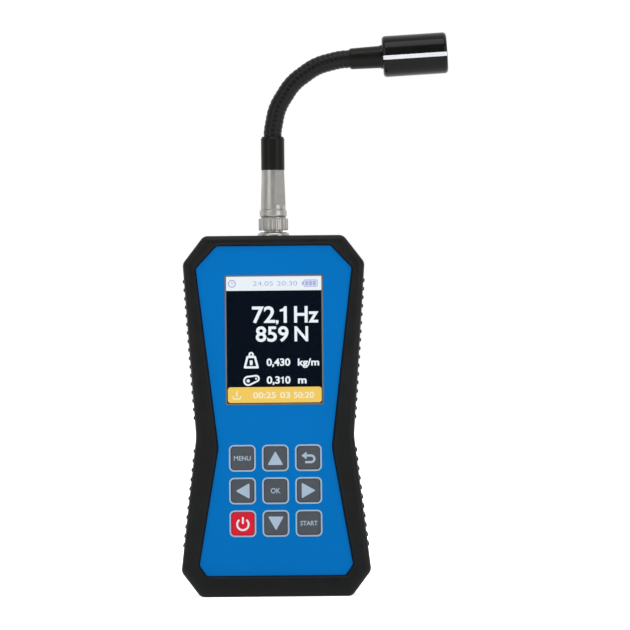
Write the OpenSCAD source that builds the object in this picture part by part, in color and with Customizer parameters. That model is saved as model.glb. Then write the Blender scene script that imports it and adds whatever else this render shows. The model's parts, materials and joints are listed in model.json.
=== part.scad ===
// Handheld belt tension tester: a meter with a plug-in gooseneck sensor.
// Millimetres. X runs to the right of the front, Y from front to back, Z up.
// The origin is the middle of the flat bottom face.

/* [Body] */
// Height of the body over its rubber boot
body_h = 164; // [158:0.5:174]
// Depth of the body from its front lip to its back lip
body_d = 38; // [37:0.5:44]
// Width across the lower shoulders
lower_w = 86.3; // [82:0.1:94]
// Width across the waist
waist_w = 71.8; // [69:0.1:78]
// Width across the upper shoulders
upper_w = 82.6; // [79:0.1:90]
// Width of the flat bottom edge
bottom_w = 68.7; // [62:0.1:74]
// Width of the flat top edge
top_w = 63.4; // [58:0.1:70]
// Height of the lower shoulders
lower_z = 11.6; // [9:0.1:14]
// Height of the waist
waist_z = 72.8; // [68:0.1:78]
// Drop from the top edge to the upper shoulders
upper_drop = 12.5; // [10:0.1:15]
// Rounding of the outline's corners
corner_r = 4; // [3:0.1:6]
// Rounding of the outline at the waist
waist_r = 25; // [10:1:40]

/* [Rubber boot] */
// Thickness of the boot's side walls
boot_wall = 3; // [2.4:0.1:3.6]
// Thickness of the boot's front and back lips
lip_t = 2; // [1.6:0.1:2.4]
// Rounding of the boot's front and back edges
edge_r = 3; // [2:0.1:3.6]
// Slope of the front lip's inner edge, across the lip
lip_bevel = 1; // [0.4:0.1:1.6]
// Width of the back lip
back_rim = 8; // [6:0.1:9]
// Height of a grip rib
rib_h = 0.6; // [0.3:0.05:1]
// Width of a grip rib at its root
rib_w = 1.8; // [1.2:0.1:2.4]
// Width of a grip rib's flat crest
rib_crest = 0.8; // [0.3:0.1:1.1]
// Length of a grip rib from front to back
rib_len = 28; // [20:1:30]
// Distance between ribs above the waist
rib_pitch_upper = 3.88; // [3:0.01:5]
// Distance between ribs below the waist
rib_pitch_lower = 4.31; // [3:0.01:5]
// Bare length beside the waist, above it
rib_start_upper = 8.6; // [5:0.1:12]
// Bare length beside the waist, below it
rib_start_lower = 5.9; // [4:0.1:12]
// Bare length below the upper shoulder
rib_stop_upper = 7.5; // [5:0.1:12]
// Bare length above the lower shoulder
rib_stop_lower = 12; // [5:0.1:16]

/* [Front panel] */
// Rim above the panel
rim_top = 4.7; // [4:0.1:7]
// Rim below the panel
rim_bottom = 9.6; // [8:0.1:12]
// Rim beside the panel at the upper shoulders
rim_upper = 5.9; // [5:0.1:8]
// Rim beside the panel at the waist
rim_waist = 10.2; // [8:0.1:11]
// Rim beside the panel at the lower shoulders
rim_lower = 8.3; // [7:0.1:11]
// Width of the panel's cut top corners
cut_top_w = 9.5; // [7:0.1:12]
// Height of the panel's cut top corners
cut_top_h = 10.1; // [7:0.1:12]
// Width of the panel's cut bottom corners
cut_bottom_w = 3.4; // [2:0.1:6]
// Height of the panel's cut bottom corners
cut_bottom_h = 4.9; // [3:0.1:7]
// Drop of the panel's waist below the body's waist
panel_waist_drop = 5; // [0:0.1:8]
// Rounding of the panel's corners
panel_r = 1.5; // [1:0.1:3]
// Rounding of the panel at its waist
panel_waist_r = 14; // [6:1:25]
// Thickness of the coloured overlay
overlay_t = 0.5; // [0.3:0.05:0.8]

/* [Case] */
// Wall thickness of the case shells
shell_wall = 2.2; // [1.8:0.1:2.6]
// Distance of the parting plane behind the middle of the body
part_y = 8; // [7.8:0.1:9]
// Thickness of the seal between the shells
seal_t = 0.8; // [0.5:0.1:1.2]
// Inset of the seal from both sides of the wall
seal_inset = 0.4; // [0.2:0.1:0.6]
// Diameter of the case screws
screw_d = 3; // [2.5:0.1:3.2]
// Length of a case screw's shank
screw_len = 16; // [12:0.5:18]
// Diameter of a case screw's head
screw_head_d = 5.6; // [5:0.1:6]
// Height of a case screw's head
screw_head_h = 2; // [1.5:0.1:2.2]
// Depth of a case screw's seat below the back of the case
screw_sink = 3; // [2.8:0.1:3.4]
// Width across the flats of a screw's hexagon socket
socket_af = 2.5; // [2:0.1:2.8]
// Diameter of the screw bosses
boss_d = 8; // [7.6:0.1:8.6]
// Distance of the bosses inside the shoulders
boss_in = 13; // [12.5:0.1:14]
// Drop of the upper bosses below the top
boss_drop = 13.5; // [13:0.1:15]
// Height of the lower bosses above the bottom
boss_rise = 14; // [13.5:0.1:15]

/* [Display] */
// Width of the lit screen
screen_w = 43.2; // [40:0.1:44]
// Height of the lit screen
screen_h = 57.6; // [54:0.1:59]
// Drop of the screen below the panel's top edge
screen_drop = 13.9; // [13:0.1:16]
// Border of the clear pane round the screen
pane_border = 0.8; // [0.5:0.1:1.2]
// Thickness of the clear pane
pane_t = 1.2; // [0.9:0.1:1.5]
// Rounding of the pane's corners
pane_r = 0.6; // [0.4:0.1:1]
// Width of the display module
module_w = 50; // [49:0.1:51]
// Height of the display module
module_h = 69.2; // [66:0.1:70]
// Thickness of the display module
module_t = 4; // [3.6:0.1:4.6]
// Drop of the module's middle below the screen's middle
module_drop = 2; // [0.5:0.1:2.5]
// Depth of the screen's glass below the module's frame
glass_sink = 0.6; // [0.3:0.1:1]
// Thickness of the foam gasket before the display
gasket_t = 0.8; // [0.5:0.1:1.2]
// Width of the foam gasket's frame
gasket_w = 2; // [1.5:0.1:2.2]

/* [Keys] */
// Width of a key cap
key_w = 10.3; // [9:0.1:11]
// Height of a key cap
key_h = 10.3; // [9:0.1:11]
// Rounding of a key's corners
key_r = 1.4; // [0.8:0.1:2]
// Distance between key columns
key_pitch_x = 15; // [14.6:0.1:15.6]
// Distance between key rows
key_pitch_z = 14.85; // [14.6:0.05:15.2]
// Drop of the lowest key row below the screen
keys_drop = 54.5; // [54:0.1:58]
// Height of a key above the overlay
key_proud = 0.6; // [0.5:0.05:0.8]
// Chamfer round a key's face
key_chamfer = 0.35; // [0.2:0.05:0.45]
// Travel of a key
key_travel = 0.5; // [0.3:0.05:0.55]
// Reach of a key's flange beyond its window
flange_reach = 0.9; // [0.6:0.1:1]
// Thickness of a key's flange
flange_t = 0.6; // [0.4:0.1:0.8]
// Diameter of a key's stem
stem_d = 3.4; // [3:0.1:4]
// Length of the stem in its switch
stem_in = 0.5; // [0.3:0.1:0.7]
// Width of a tactile switch
switch_w = 6.2; // [6:0.1:7]
// Rounding of the corners of switches and chips
chip_r = 0.4; // [0.2:0.1:0.8]

/* [Circuit board] */
// Thickness of the circuit board
board_t = 1.6; // [1.2:0.1:2]
// Gap between the board's edge and the case
board_gap = 1; // [0.6:0.1:1.4]
// Diameter of the posts that carry the board
post_d = 5.2; // [4.8:0.1:5.6]
// Gap between the posts and the display module
post_gap = 1.2; // [0.8:0.1:1.5]
// Drop of the upper posts below the top
post_drop = 30; // [26:1:34]
// Height of the lower posts above the bottom
post_rise = 27; // [26:0.5:30]
// Diameter of the board screws
board_screw_d = 2; // [1.8:0.1:2.2]
// Length of a board screw's shank
board_screw_len = 5; // [4:0.1:5.6]
// Diameter of a board screw's head
board_head_d = 3.8; // [3.5:0.1:4.2]
// Height of a board screw's head
board_head_h = 1.4; // [1:0.1:1.6]
// Width across the flats of a board screw's hexagon socket
board_socket_af = 1.5; // [1.2:0.1:1.8]

/* [Batteries] */
// Diameter of a cell
cell_d = 10.5; // [10:0.1:10.6]
// Length of a cell
cell_len = 44.5; // [43:0.1:45]
// Diameter of a cell's contact cap
cap_d = 3.8; // [3:0.1:4.5]
// Height of a cell's contact cap
cap_h = 1; // [0.8:0.1:1.2]
// Gap between neighbouring cells
cell_gap = 0.5; // [0.3:0.05:0.7]
// Height of the middle of the battery bay
bay_z = 43.5; // [43:0.1:45]
// Wall thickness of the battery bay
bay_wall = 1.5; // [1.2:0.1:1.8]
// Length of a contact spring
spring_len = 4.5; // [3.5:0.1:5]
// Wire diameter of a contact spring
wire_d = 0.6; // [0.5:0.05:0.8]
// Width of a contact plate
plate_w = 8; // [7:0.1:9]
// Thickness of a contact plate
plate_t = 0.4; // [0.3:0.05:0.6]
// Thickness of the battery door
door_t = 2.2; // [2:0.1:2.4]
// Width of the ledge that carries the door
door_ledge = 1.8; // [1.5:0.1:2.2]
// Reach of the door's foot below the bay
door_foot = 7.5; // [7:0.1:8]
// Rounding of the door's corners
door_r = 3; // [2:0.1:4]
// Diameter of the door's screw
door_screw_d = 2.5; // [2:0.1:2.8]
// Length of the door screw's shank
door_screw_len = 7; // [6:0.1:8]
// Diameter of the door screw's head
door_head_d = 5; // [4.5:0.1:5.4]
// Height of the door screw's head
door_head_h = 1; // [0.8:0.1:1.1]

/* [Connector] */
// Diameter of the socket's flange
flange_d = 14.7; // [14:0.1:15.4]
// Height of the flange above the boot
flange_h = 1.6; // [1.2:0.1:2]
// Diameter of the socket's threaded neck
neck_thread_d = 8.4; // [8:0.1:9]
// Bare height of the neck below the coupling ring
neck_bare = 0.9; // [0.6:0.1:1.2]
// Diameter of the bore in the socket
socket_bore_d = 6.4; // [6:0.1:6.6]
// Reach of the socket below the top wall of the case
socket_reach = 9; // [8:0.1:11]
// Thickness of the socket's nut
nut_t = 2.4; // [2:0.1:3]
// Width across the flats of the socket's nut
nut_af = 12; // [11.5:0.1:12.5]
// Thickness of the seal under the flange
socket_seal_t = 0.6; // [0.4:0.1:0.8]
// Diameter of the coupling ring
ring_d = 13.5; // [13:0.1:14.2]
// Height of the coupling ring
ring_h = 5.4; // [5:0.1:6]
// Number of grip grooves round the coupling ring
ring_grooves = 24; // [16:1:32]
// Depth of a grip groove
ring_groove_t = 0.3; // [0.1:0.05:0.4]
// Diameter of the plug's neck in the coupling ring
plug_neck_d = 6.8; // [6.6:0.1:7.2]
// Height of the ring's inner lip round that neck
ring_lip_h = 1.5; // [1.2:0.1:1.8]
// Diameter of the groove above the coupling ring
groove_d = 11.6; // [11:0.1:12]
// Height of the groove above the coupling ring
groove_h = 0.5; // [0.4:0.1:0.8]
// Diameter of the plug's rounded collar
collar_d = 12.4; // [12:0.1:13]
// Height of the plug's rounded collar
collar_h = 3.7; // [3:0.1:4.4]
// Diameter of the plug's taper at its foot
taper_foot_d = 11.4; // [11:0.1:11.8]
// Diameter of the plug's taper at its top
taper_top_d = 10.25; // [10:0.05:10.8]
// Height of the plug's taper
taper_h = 17.9; // [16:0.1:20]
// Distance between the two wrench flats of the taper
flats_af = 8.6; // [8:0.1:9.4]
// Height of the round foot below the wrench flats
flats_rise = 2; // [1:0.1:3]
// Diameter of a contact pin
pin_d = 0.8; // [0.6:0.05:0.9]
// Diameter of the circle that the contact pins stand on
pin_circle_d = 3.4; // [3:0.1:3.6]
// Length of the pins in the socket
pin_in = 2.5; // [2:0.1:3]
// Length of the solder tails behind both inserts
pin_tail = 3; // [2:0.1:4]
// Length of the plug's insert
plug_insert_h = 12; // [8:0.1:14]
// Length of the plug's nose in the socket
nose_h = 3; // [2.5:0.1:3.4]
// Thickness of the flange that keeps the coupling ring on the plug
retainer_t = 0.5; // [0.4:0.05:0.7]

/* [Gooseneck] */
// Diameter of the lower sleeve
sleeve_d = 10.7; // [10.2:0.1:11.2]
// Height of the lower sleeve
sleeve_h = 15.2; // [14:0.1:17]
// Length of the plug's spigot inside the lower sleeve
spigot_h = 8; // [6:0.1:9]
// Diameter of the plug's spigot
spigot_d = 8.8; // [8.4:0.1:9]
// Diameter of the gooseneck over its ribs
neck_d = 8.3; // [8.1:0.1:9]
// Depth of the groove between two ribs
neck_groove = 0.25; // [0.15:0.05:0.35]
// Length of the gooseneck's bent stretch
neck_len = 53.2; // [52:0.1:60]
// Straight length between the bend and the upper sleeve
neck_tail = 2.2; // [1:0.1:4]
// Bend of the gooseneck as it stands
neck_bend = 86.8; // [0:0.1:90]
// Largest tilt of one link on the next
link_tilt = 15; // [12:0.5:15]
// Diameter of the wire channel through the links
channel_d = 4.8; // [4:0.1:5]
// Step from a link's ribs down to its ball
ball_step = 0.4; // [0.35:0.05:0.6]
// Rise of a link's ball above the joint's middle
ball_rise = 0.6; // [0.4:0.05:0.7]
// Reach of a link's cup below the joint's middle
cup_drop = 0.9; // [0.7:0.05:1]
// Wall of the tube that carries the sensor head
stem_wall = 0.8; // [0.6:0.05:1]

/* [Sensor head] */
// Diameter of the upper sleeve at the gooseneck
upper_sleeve_d1 = 9.6; // [9.2:0.1:10]
// Diameter of the upper sleeve at the head
upper_sleeve_d2 = 10.2; // [10:0.1:11]
// Length of the upper sleeve
upper_sleeve_len = 14.2; // [12:0.1:16]
// Diameter of the collar between sleeve and head
head_collar_d = 11; // [10.6:0.1:12]
// Length of the collar between sleeve and head
head_collar_len = 1; // [0.6:0.1:1.6]
// Diameter of the head
head_d = 18.8; // [18:0.1:20]
// Length of the head
head_len = 29.5; // [28:0.1:32]
// Rounding of the head's edges
head_r = 1.6; // [0.8:0.1:2]
// Wall thickness of the head
head_wall = 1.4; // [1.2:0.1:1.8]
// Thickness of the head's rear wall
head_back_t = 4; // [3:0.1:5]
// Depth of the window below the head's front edge
window_sink = 1.6; // [1.2:0.1:2]
// Thickness of the sensor window
window_t = 2; // [1.5:0.1:2.5]
// Width of the rim that holds the window
window_rim = 1.2; // [1:0.1:1.6]
// Depth of the sensor board behind the window
diode_room = 8; // [7:0.1:10]
// Thickness of the sensor board
sensor_board_t = 1.6; // [1.2:0.1:2]
// Diameter of the emitter and the receiver
diode_d = 5; // [4:0.1:5.4]
// Height of the emitter and the receiver
diode_h = 6; // [5:0.1:6.5]
// Distance between emitter and receiver
diode_pitch = 6.4; // [6:0.1:7]

/* [Fits] */
// Gap between pieces that seat on each other
seat_gap = 0.1; // [0.05:0.01:0.15]
// Gap round a piece that slides or lifts out
slide_gap = 0.2; // [0.15:0.01:0.3]
// Radial gap of a turning fit
turn_gap = 0.06; // [0.04:0.01:0.1]

/* [Hidden] */
$fn = 64;
// Length by which a cut runs past the face that it opens
over = 1;
// Smallest rounding that an inset leaves at a corner
least_r = 0.3;

// Depths of the body, from front to back
front_y = -body_d / 2;
back_y = body_d / 2;
front_face = front_y + lip_t;
rear_face = back_y - lip_t;
front_in = front_face + shell_wall;
rear_in = rear_face - shell_wall;
overlay_face = front_face - overlay_t;
pane_back = overlay_face + pane_t;
module_y = front_in + gasket_t;
board_y = module_y + module_t + seat_gap;
board_back = board_y + board_t;

// Case outline inside the boot
case_inset = boot_wall + seat_gap;
case_top = body_h - case_inset;
case_in = case_inset + shell_wall;
upper_z = body_h - upper_drop;

// Screen and keys on the front panel
panel_top = body_h - rim_top;
screen_z = panel_top - screen_drop - screen_h / 2;
module_z = screen_z - module_drop;
keys_z = screen_z - screen_h / 2 - keys_drop;
key_face = overlay_face - key_proud;
key_flange_y = front_in + seat_gap;
key_flange_back = key_flange_y + flange_t;
switch_top = key_flange_back + key_travel + slide_gap;
stem_end = switch_top + stem_in;
switch_bore = stem_in + key_travel + slide_gap;

// Bosses and posts: a place on the right, mirrored to the left
boss_spots = [
    [upper_w / 2 - boss_in, body_h - boss_drop],
    [lower_w / 2 - boss_in, boss_rise]
];
post_x = module_w / 2 + post_gap + post_d / 2;
post_spots = [[post_x, body_h - post_drop], [post_x, post_rise]];
screw_seat = rear_face - screw_sink;
screw_tip = screw_seat - screw_len;
screw_bore_r = screw_d / 2 + seat_gap;

// Battery bay
cell_count = 4;
cell_pitch = cell_d + cell_gap;
bay_w = cell_count * cell_d + (cell_count - 1) * cell_gap + 4 * slide_gap;
bay_h = cell_len + spring_len + 2 * plate_t + 4 * seat_gap;
bay_top = bay_z + bay_h / 2;
bay_bottom = bay_z - bay_h / 2;
door_seat = rear_face - door_t;
cell_y = door_seat - 2 * slide_gap - cell_d / 2;
bay_floor = cell_y - cell_d / 2 - seat_gap;
door_w = bay_w + 2 * door_ledge;
door_top = bay_top + door_ledge;
door_bottom = bay_bottom - door_foot;
door_screw_z = bay_bottom - door_foot / 2;
door_head_seat = rear_face - door_head_h - seat_gap;

// Heights of the connector
flange_top = body_h + flange_h;
ring_z = flange_top + neck_bare;
ring_top = ring_z + ring_h;
ring_lip_z = ring_top - ring_lip_h;
retainer_z = ring_lip_z - seat_gap - retainer_t;
socket_top = retainer_z - seat_gap;
nose_z = socket_top - nose_h;
insert_top = nose_z - seat_gap;
collar_z = ring_top + groove_h;
taper_z = collar_z + collar_h;
sleeve_z = taper_z + taper_h;
neck_z = sleeve_z + sleeve_h;
socket_foot = case_top - shell_wall - socket_reach;
pin_count = 5;
plug_bore_r = pin_circle_d / 2 + pin_d / 2 + 4 * seat_gap;

// Gooseneck: links of one length, each with a ball at its far end and a cup at its near end
link_count = 11;
joint_count = link_count + 1;
link_len = neck_len / joint_count;
neck_r = neck_d / 2;
ball_r = neck_r - ball_step;
cup_r = ball_r + seat_gap;
channel_r = channel_d / 2;
// The joints bend in the plane of the photo except one in three, which swings across it
swing_joints = [2, 5, 8, 11];
bend_count = joint_count - len(swing_joints);
// Height of the ball's foot below its centre, clear of the next link's tilted cup
ball_foot = cup_drop * cos(link_tilt) + neck_r * sin(link_tilt) + seat_gap;
// Height of the cup's roof above the centre, clear of the tilted ball
cup_roof = ball_rise * cos(link_tilt) + ball_r * sin(link_tilt) + seat_gap;

// Sensor head, measured along its axis from the last joint
sleeve_start = link_len / 2 + neck_tail;
collar_start = sleeve_start + upper_sleeve_len;
head_start = collar_start + head_collar_len;
head_end = head_start + head_len;
head_in_r = head_d / 2 - head_wall;
window_front = head_end - window_sink;
window_back = window_front - window_t;
sensor_board_z = window_back - diode_room;
spigot_r = channel_r + stem_wall;

// Outlines: corners are [x, z, rounding] on the right side from bottom to top, then mirrored
body_side = [
    [bottom_w / 2, 0, corner_r],
    [lower_w / 2, lower_z, corner_r],
    [waist_w / 2, waist_z, waist_r],
    [upper_w / 2, upper_z, corner_r],
    [top_w / 2, body_h, corner_r]
];
panel_side = [
    [lower_w / 2 - rim_lower - cut_bottom_w, rim_bottom, panel_r],
    [lower_w / 2 - rim_lower, rim_bottom + cut_bottom_h, panel_r],
    [waist_w / 2 - rim_waist, waist_z - panel_waist_drop, panel_waist_r],
    [upper_w / 2 - rim_upper, panel_top - cut_top_h, panel_r],
    [upper_w / 2 - rim_upper - cut_top_w, panel_top, panel_r]
];

function both_sides(side) =
    concat(side, [for (i = [len(side) - 1:-1:0]) [-side[i][0], side[i][1], side[i][2]]]);
function unit(v) = v / norm(v);
function inward(v) = [-v.y, v.x];
function turned(v, a) = [v.x * cos(a) - v.y * sin(a), v.x * sin(a) + v.y * cos(a)];

// Arc of points that rounds corner b between a and c, moved inwards by inset
function corner_arc(a, b, c, r, inset, steps) =
    let (
        e1 = unit(b - a),
        e2 = unit(c - b),
        n1 = inward(e1),
        n2 = inward(e2),
        turn = atan2(cross(e1, e2), e1 * e2),
        side = sign(turn),
        arc_r = max(least_r, r - side * inset),
        mitre = (n1 + n2) / (1 + n1 * n2),
        hub = b + mitre * (inset + side * arc_r)
    )
    [for (k = [0:steps]) hub - side * arc_r * turned(n1, turn * k / steps)];

// Closed outline with rounded corners, moved inwards by inset
function outline(corners, inset = 0, steps = 4) =
    let (n = len(corners), p = [for (c = corners) [c[0], c[1]]])
    [for (i = [0:n - 1])
        each corner_arc(p[(i + n - 1) % n], p[i], p[(i + 1) % n], corners[i][2], inset, steps)];

function body_outline(inset) = outline(both_sides(body_side), inset);
function panel_outline(inset) = outline(both_sides(panel_side), inset);
function slab(w, h, r, x = 0, z = 0, inset = 0) =
    outline([
        [x + w / 2, z - h / 2, r],
        [x + w / 2, z + h / 2, r],
        [x - w / 2, z + h / 2, r],
        [x - w / 2, z - h / 2, r]
    ], inset);

// Circle arc of points [radius, height] about a centre on the axis, for revolved profiles
function dome(r, z, from, to, steps) =
    [for (k = [0:steps]) let (a = from + (to - from) * k / steps) [r * cos(a), z + r * sin(a)]];

// Upright plate of an outline in X and Z, between two depths
module plate(points, y0, y1) {
    translate([0, y1, 0])
        rotate([90, 0, 0])
            linear_extrude(y1 - y0)
                polygon(points);
}

// Bar of round section along the depth
module rod(r, x, z, y0, y1) {
    translate([x, y1, z])
        rotate([90, 0, 0])
            cylinder(h = y1 - y0, r = r);
}

// Skin over a row of outlines, each at its own depth
module loft(outlines, depths) {
    n = len(outlines[0]);
    last = len(outlines) - 1;
    points = [for (i = [0:last]) for (p = outlines[i]) [p.x, depths[i], p.y]];
    sides = [for (i = [0:last - 1]) for (j = [0:n - 1])
        let (a = i * n + j, b = i * n + (j + 1) % n)
        each [[a, b, b + n], [a, b + n, a + n]]];
    front = [for (j = [n - 1:-1:0]) j];
    back = [for (j = [0:n - 1]) last * n + j];
    polyhedron(points, concat([front, back], sides));
}

// Each place of a list and its mirror image on the left
module both(spots) {
    for (s = spots, side = [-1, 1])
        translate([side * s.x, 0, s.y])
            children();
}

// Cylinder along the depth at the current place
module post(r, y0, y1) {
    rod(r, 0, 0, y0, y1);
}

// Boot
edge_steps = 4;

// Ring round the body that a closed profile of [inset, depth] sweeps
module rim_ring(profile) {
    m = len(profile);
    outlines = [for (p = profile) body_outline(p[0])];
    n = len(outlines[0]);
    points = [for (i = [0:m - 1]) for (p = outlines[i]) [p.x, profile[i][1], p.y]];
    faces = [for (i = [0:m - 1]) for (j = [0:n - 1])
        let (
            a = i * n + j,
            b = i * n + (j + 1) % n,
            c = (i + 1) % m * n + (j + 1) % n,
            d = (i + 1) % m * n + j
        )
        each [[a, b, c], [a, c, d]]];
    polyhedron(points, faces);
}

// What the front edge's rounding takes away, with its first and last facet drawn on past the faces
module edge_cut() {
    bow = [for (k = [edge_steps:-1:0])
        let (a = 90 * k / edge_steps)
        [edge_r * (1 - sin(a)), front_y + edge_r * (1 - cos(a))]];
    side = 2 * bow[0] - bow[1];
    face = 2 * bow[edge_steps] - bow[edge_steps - 1];
    rim_ring(concat([side], bow, [face, [-over, face[1]], [-over, side[1]]]));
}

module boot_skin() {
    difference() {
        plate(body_outline(0), front_y, back_y);
        edge_cut();
        mirror([0, 1, 0])
            edge_cut();
    }
}

// Ribs along one straight edge from a to b, with bare lengths at both ends
module rib_row(a, b, bare_a, bare_b, pitch) {
    along = unit(b - a);
    count = floor((norm(b - a) - bare_a - bare_b) / pitch);
    angle = atan2(along.y, along.x);
    for (i = [0:count])
        let (p = a + along * (bare_a + i * pitch))
            translate([p.x, rib_len / 2, p.y])
                rotate([90, 0, 0])
                    rotate(angle)
                        linear_extrude(rib_len)
                            polygon([
                                [-rib_w / 2, boot_wall / 2],
                                [-rib_w / 2, 0],
                                [-rib_crest / 2, -rib_h],
                                [rib_crest / 2, -rib_h],
                                [rib_w / 2, 0],
                                [rib_w / 2, boot_wall / 2]
                            ]);
}

module grip_ribs() {
    lower = [lower_w / 2, lower_z];
    waist = [waist_w / 2, waist_z];
    upper = [upper_w / 2, upper_z];
    for (side = [0, 1])
        mirror([side, 0, 0]) {
            rib_row(lower, waist, rib_stop_lower, rib_start_lower, rib_pitch_lower);
            rib_row(waist, upper, rib_start_upper, rib_stop_upper, rib_pitch_upper);
        }
}

module rubber_boot() {
    color("#1c1c1d")
        difference() {
            union() {
                boot_skin();
                grip_ribs();
            }
            plate(body_outline(boot_wall), front_face, rear_face);
            loft(
                [panel_outline(-lip_bevel), panel_outline(-lip_bevel), panel_outline(0), panel_outline(0)],
                [front_y - over, front_y, overlay_face, front_face + over]
            );
            plate(body_outline(back_rim), rear_face - over, back_y + over);
            translate([0, 0, body_h - boot_wall - over])
                cylinder(h = boot_wall + 2 * over, d = flange_d + 2 * slide_gap);
        }
}

// Case
module front_shell() {
    color("#222223")
        difference() {
            union() {
                difference() {
                    plate(body_outline(case_inset), front_face, part_y);
                    plate(body_outline(case_in), front_in, part_y + over);
                }
                both(boss_spots)
                    post(boss_d / 2, front_in, part_y);
                both(post_spots)
                    post(post_d / 2, front_in, board_y);
            }
            both(boss_spots)
                post(screw_bore_r, screw_tip - over, part_y + over);
            both(post_spots)
                post(board_screw_d / 2 + seat_gap, board_back - board_screw_len - over, board_y + over);
            plate(pane_outline(0), front_face - over, pane_back + seat_gap);
            plate(screen_outline(), front_face - over, front_in + over);
            each_key()
                plate(slab(key_w, key_h, key_r, 0, 0, -slide_gap), front_face - over, front_in + over);
            translate([0, 0, case_top - shell_wall - over])
                cylinder(h = shell_wall + 2 * over, d = neck_thread_d + 2 * seat_gap);
        }
}

module rear_shell() {
    color("#222223")
        difference() {
            union() {
                difference() {
                    plate(body_outline(case_inset), part_y + seal_t, rear_face);
                    plate(body_outline(case_in), part_y + seal_t - over, rear_in);
                }
                both(boss_spots)
                    post(boss_d / 2, part_y + seal_t, rear_face);
                plate(slab(bay_w, bay_h, least_r, 0, bay_z, -bay_wall), bay_floor - bay_wall, door_seat);
                plate(door_outline(-bay_wall), door_seat - bay_wall, rear_face);
                rod(door_head_d / 2 + bay_wall, 0, door_screw_z, door_seat - door_screw_len, door_seat);
            }
            plate(door_outline(0), door_seat, rear_face + over);
            plate(slab(bay_w, bay_h, least_r, 0, bay_z), bay_floor, rear_face);
            rod(door_screw_d / 2 + slide_gap, 0, door_screw_z,
                door_head_seat - door_screw_len - over / 2, rear_face);
            both(boss_spots) {
                post(screw_bore_r, part_y, rear_face + over);
                post(screw_head_d / 2 + slide_gap, screw_seat, rear_face + over);
            }
        }
}

module case_seal() {
    color("#3a3f44")
        difference() {
            plate(body_outline(case_inset + seal_inset), part_y, part_y + seal_t);
            plate(body_outline(case_in - seal_inset), part_y - over, part_y + seal_t + over);
        }
}

// Screw along the depth with its head towards the back and a hexagon socket
module back_screw(d, shank, head_d, head_h, seat, key_af) {
    floor_t = 0.7;
    difference() {
        union() {
            post(d / 2, seat - shank, seat);
            post(head_d / 2, seat, seat + head_h);
        }
        translate([0, seat + head_h + over, 0])
            rotate([90, 0, 0])
                cylinder(h = head_h - floor_t + over, d = key_af / cos(30), $fn = 6);
    }
}

module case_screws() {
    color("#8d9094")
        both(boss_spots)
            back_screw(screw_d, screw_len, screw_head_d, screw_head_h, screw_seat, socket_af);
}

// Front panel
function pane_outline(inset) =
    slab(screen_w + 2 * pane_border, screen_h + 2 * pane_border, pane_r, 0, screen_z, inset);
function screen_outline() = slab(screen_w, screen_h, pane_r / 2, 0, screen_z);

module front_overlay() {
    color("#0a72c2")
        difference() {
            plate(panel_outline(seat_gap), overlay_face, front_face);
            plate(pane_outline(0), overlay_face - over, front_face + over);
            each_key()
                plate(slab(key_w, key_h, key_r, 0, 0, -slide_gap), overlay_face - over, front_face + over);
        }
}

module display_window() {
    color("#9fb0c0")
        plate(pane_outline(seat_gap), overlay_face, pane_back);
}

module display_gasket() {
    color("#303336")
        difference() {
            plate(slab(screen_w + 2 * gasket_w, screen_h + 2 * gasket_w, gasket_w / 2, 0, screen_z),
                front_in, module_y);
            plate(screen_outline(), front_in - over, module_y + over);
        }
}

module display_module() {
    module_r = 1.2;
    color("#101a28")
        difference() {
            plate(slab(module_w, module_h, module_r, 0, module_z), module_y, module_y + module_t);
            plate(screen_outline(), module_y - over, module_y + glass_sink);
        }
}

// Circuit board
module main_board() {
    color("#1f6b3f")
        difference() {
            plate(body_outline(case_in + board_gap), board_y, board_back);
            both(boss_spots)
                post(boss_d / 2 + slide_gap, board_y - over, board_back + over);
            both(post_spots)
                post(board_screw_d / 2 + seat_gap, board_y - over, board_back + over);
        }
}

module board_screws() {
    color("#b7babd")
        both(post_spots)
            back_screw(board_screw_d, board_screw_len, board_head_d, board_head_h, board_back,
                board_socket_af);
}

// Parts on the back of the board: width, height and thickness
processor = [14, 14, 1.5];
memory = [8, 6, 1.2];
amplifier = [6, 5, 1.6];
crystal = [5, 3.2, 1.2];
display_plug = [16, 6, 4];

// Left and right column of those parts, and their pitch along the board
chip_left = -9;
chip_right = 11;
chip_pitch = 8;
chips = [
    [chip_left, screen_z, processor],
    [chip_right, screen_z + chip_pitch, memory],
    [chip_right, screen_z - chip_pitch, amplifier],
    [chip_left, screen_z + 2 * chip_pitch, crystal],
    [0, module_z - module_h / 2, display_plug]
];

module board_chips() {
    color("#2b2d30")
        for (c = chips)
            plate(slab(c[2].x, c[2].y, chip_r, c[0], c[1]), board_back, board_back + c[2].z);
}

// Keys
module each_key() {
    for (column = [-1:1], row = [0:2])
        at_key(column, row)
            children();
}

module at_key(column, row) {
    translate([column * key_pitch_x, 0, keys_z + row * key_pitch_z])
        children();
}

module key_switches() {
    color("#2b2d30")
        each_key()
            difference() {
                plate(slab(switch_w, switch_w, chip_r), switch_top, board_y);
                post(stem_d / 2 + slide_gap, switch_top - over, switch_top + switch_bore);
            }
}

module key(column, row, tint) {
    flange_w = key_w + 2 * (slide_gap + flange_reach);
    flange_h = key_h + 2 * (slide_gap + flange_reach);
    color(tint)
        at_key(column, row)
            union() {
                loft(
                    [slab(key_w, key_h, key_r, 0, 0, key_chamfer), slab(key_w, key_h, key_r),
                        slab(key_w, key_h, key_r)],
                    [key_face, key_face + key_chamfer, key_flange_y]
                );
                plate(slab(flange_w, flange_h, key_r), key_flange_y, key_flange_back);
                post(stem_d / 2, key_flange_back, stem_end);
            }
}

// Batteries
function door_outline(inset) =
    slab(door_w, door_top - door_bottom, door_r, 0, (door_top + door_bottom) / 2, inset);

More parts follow.
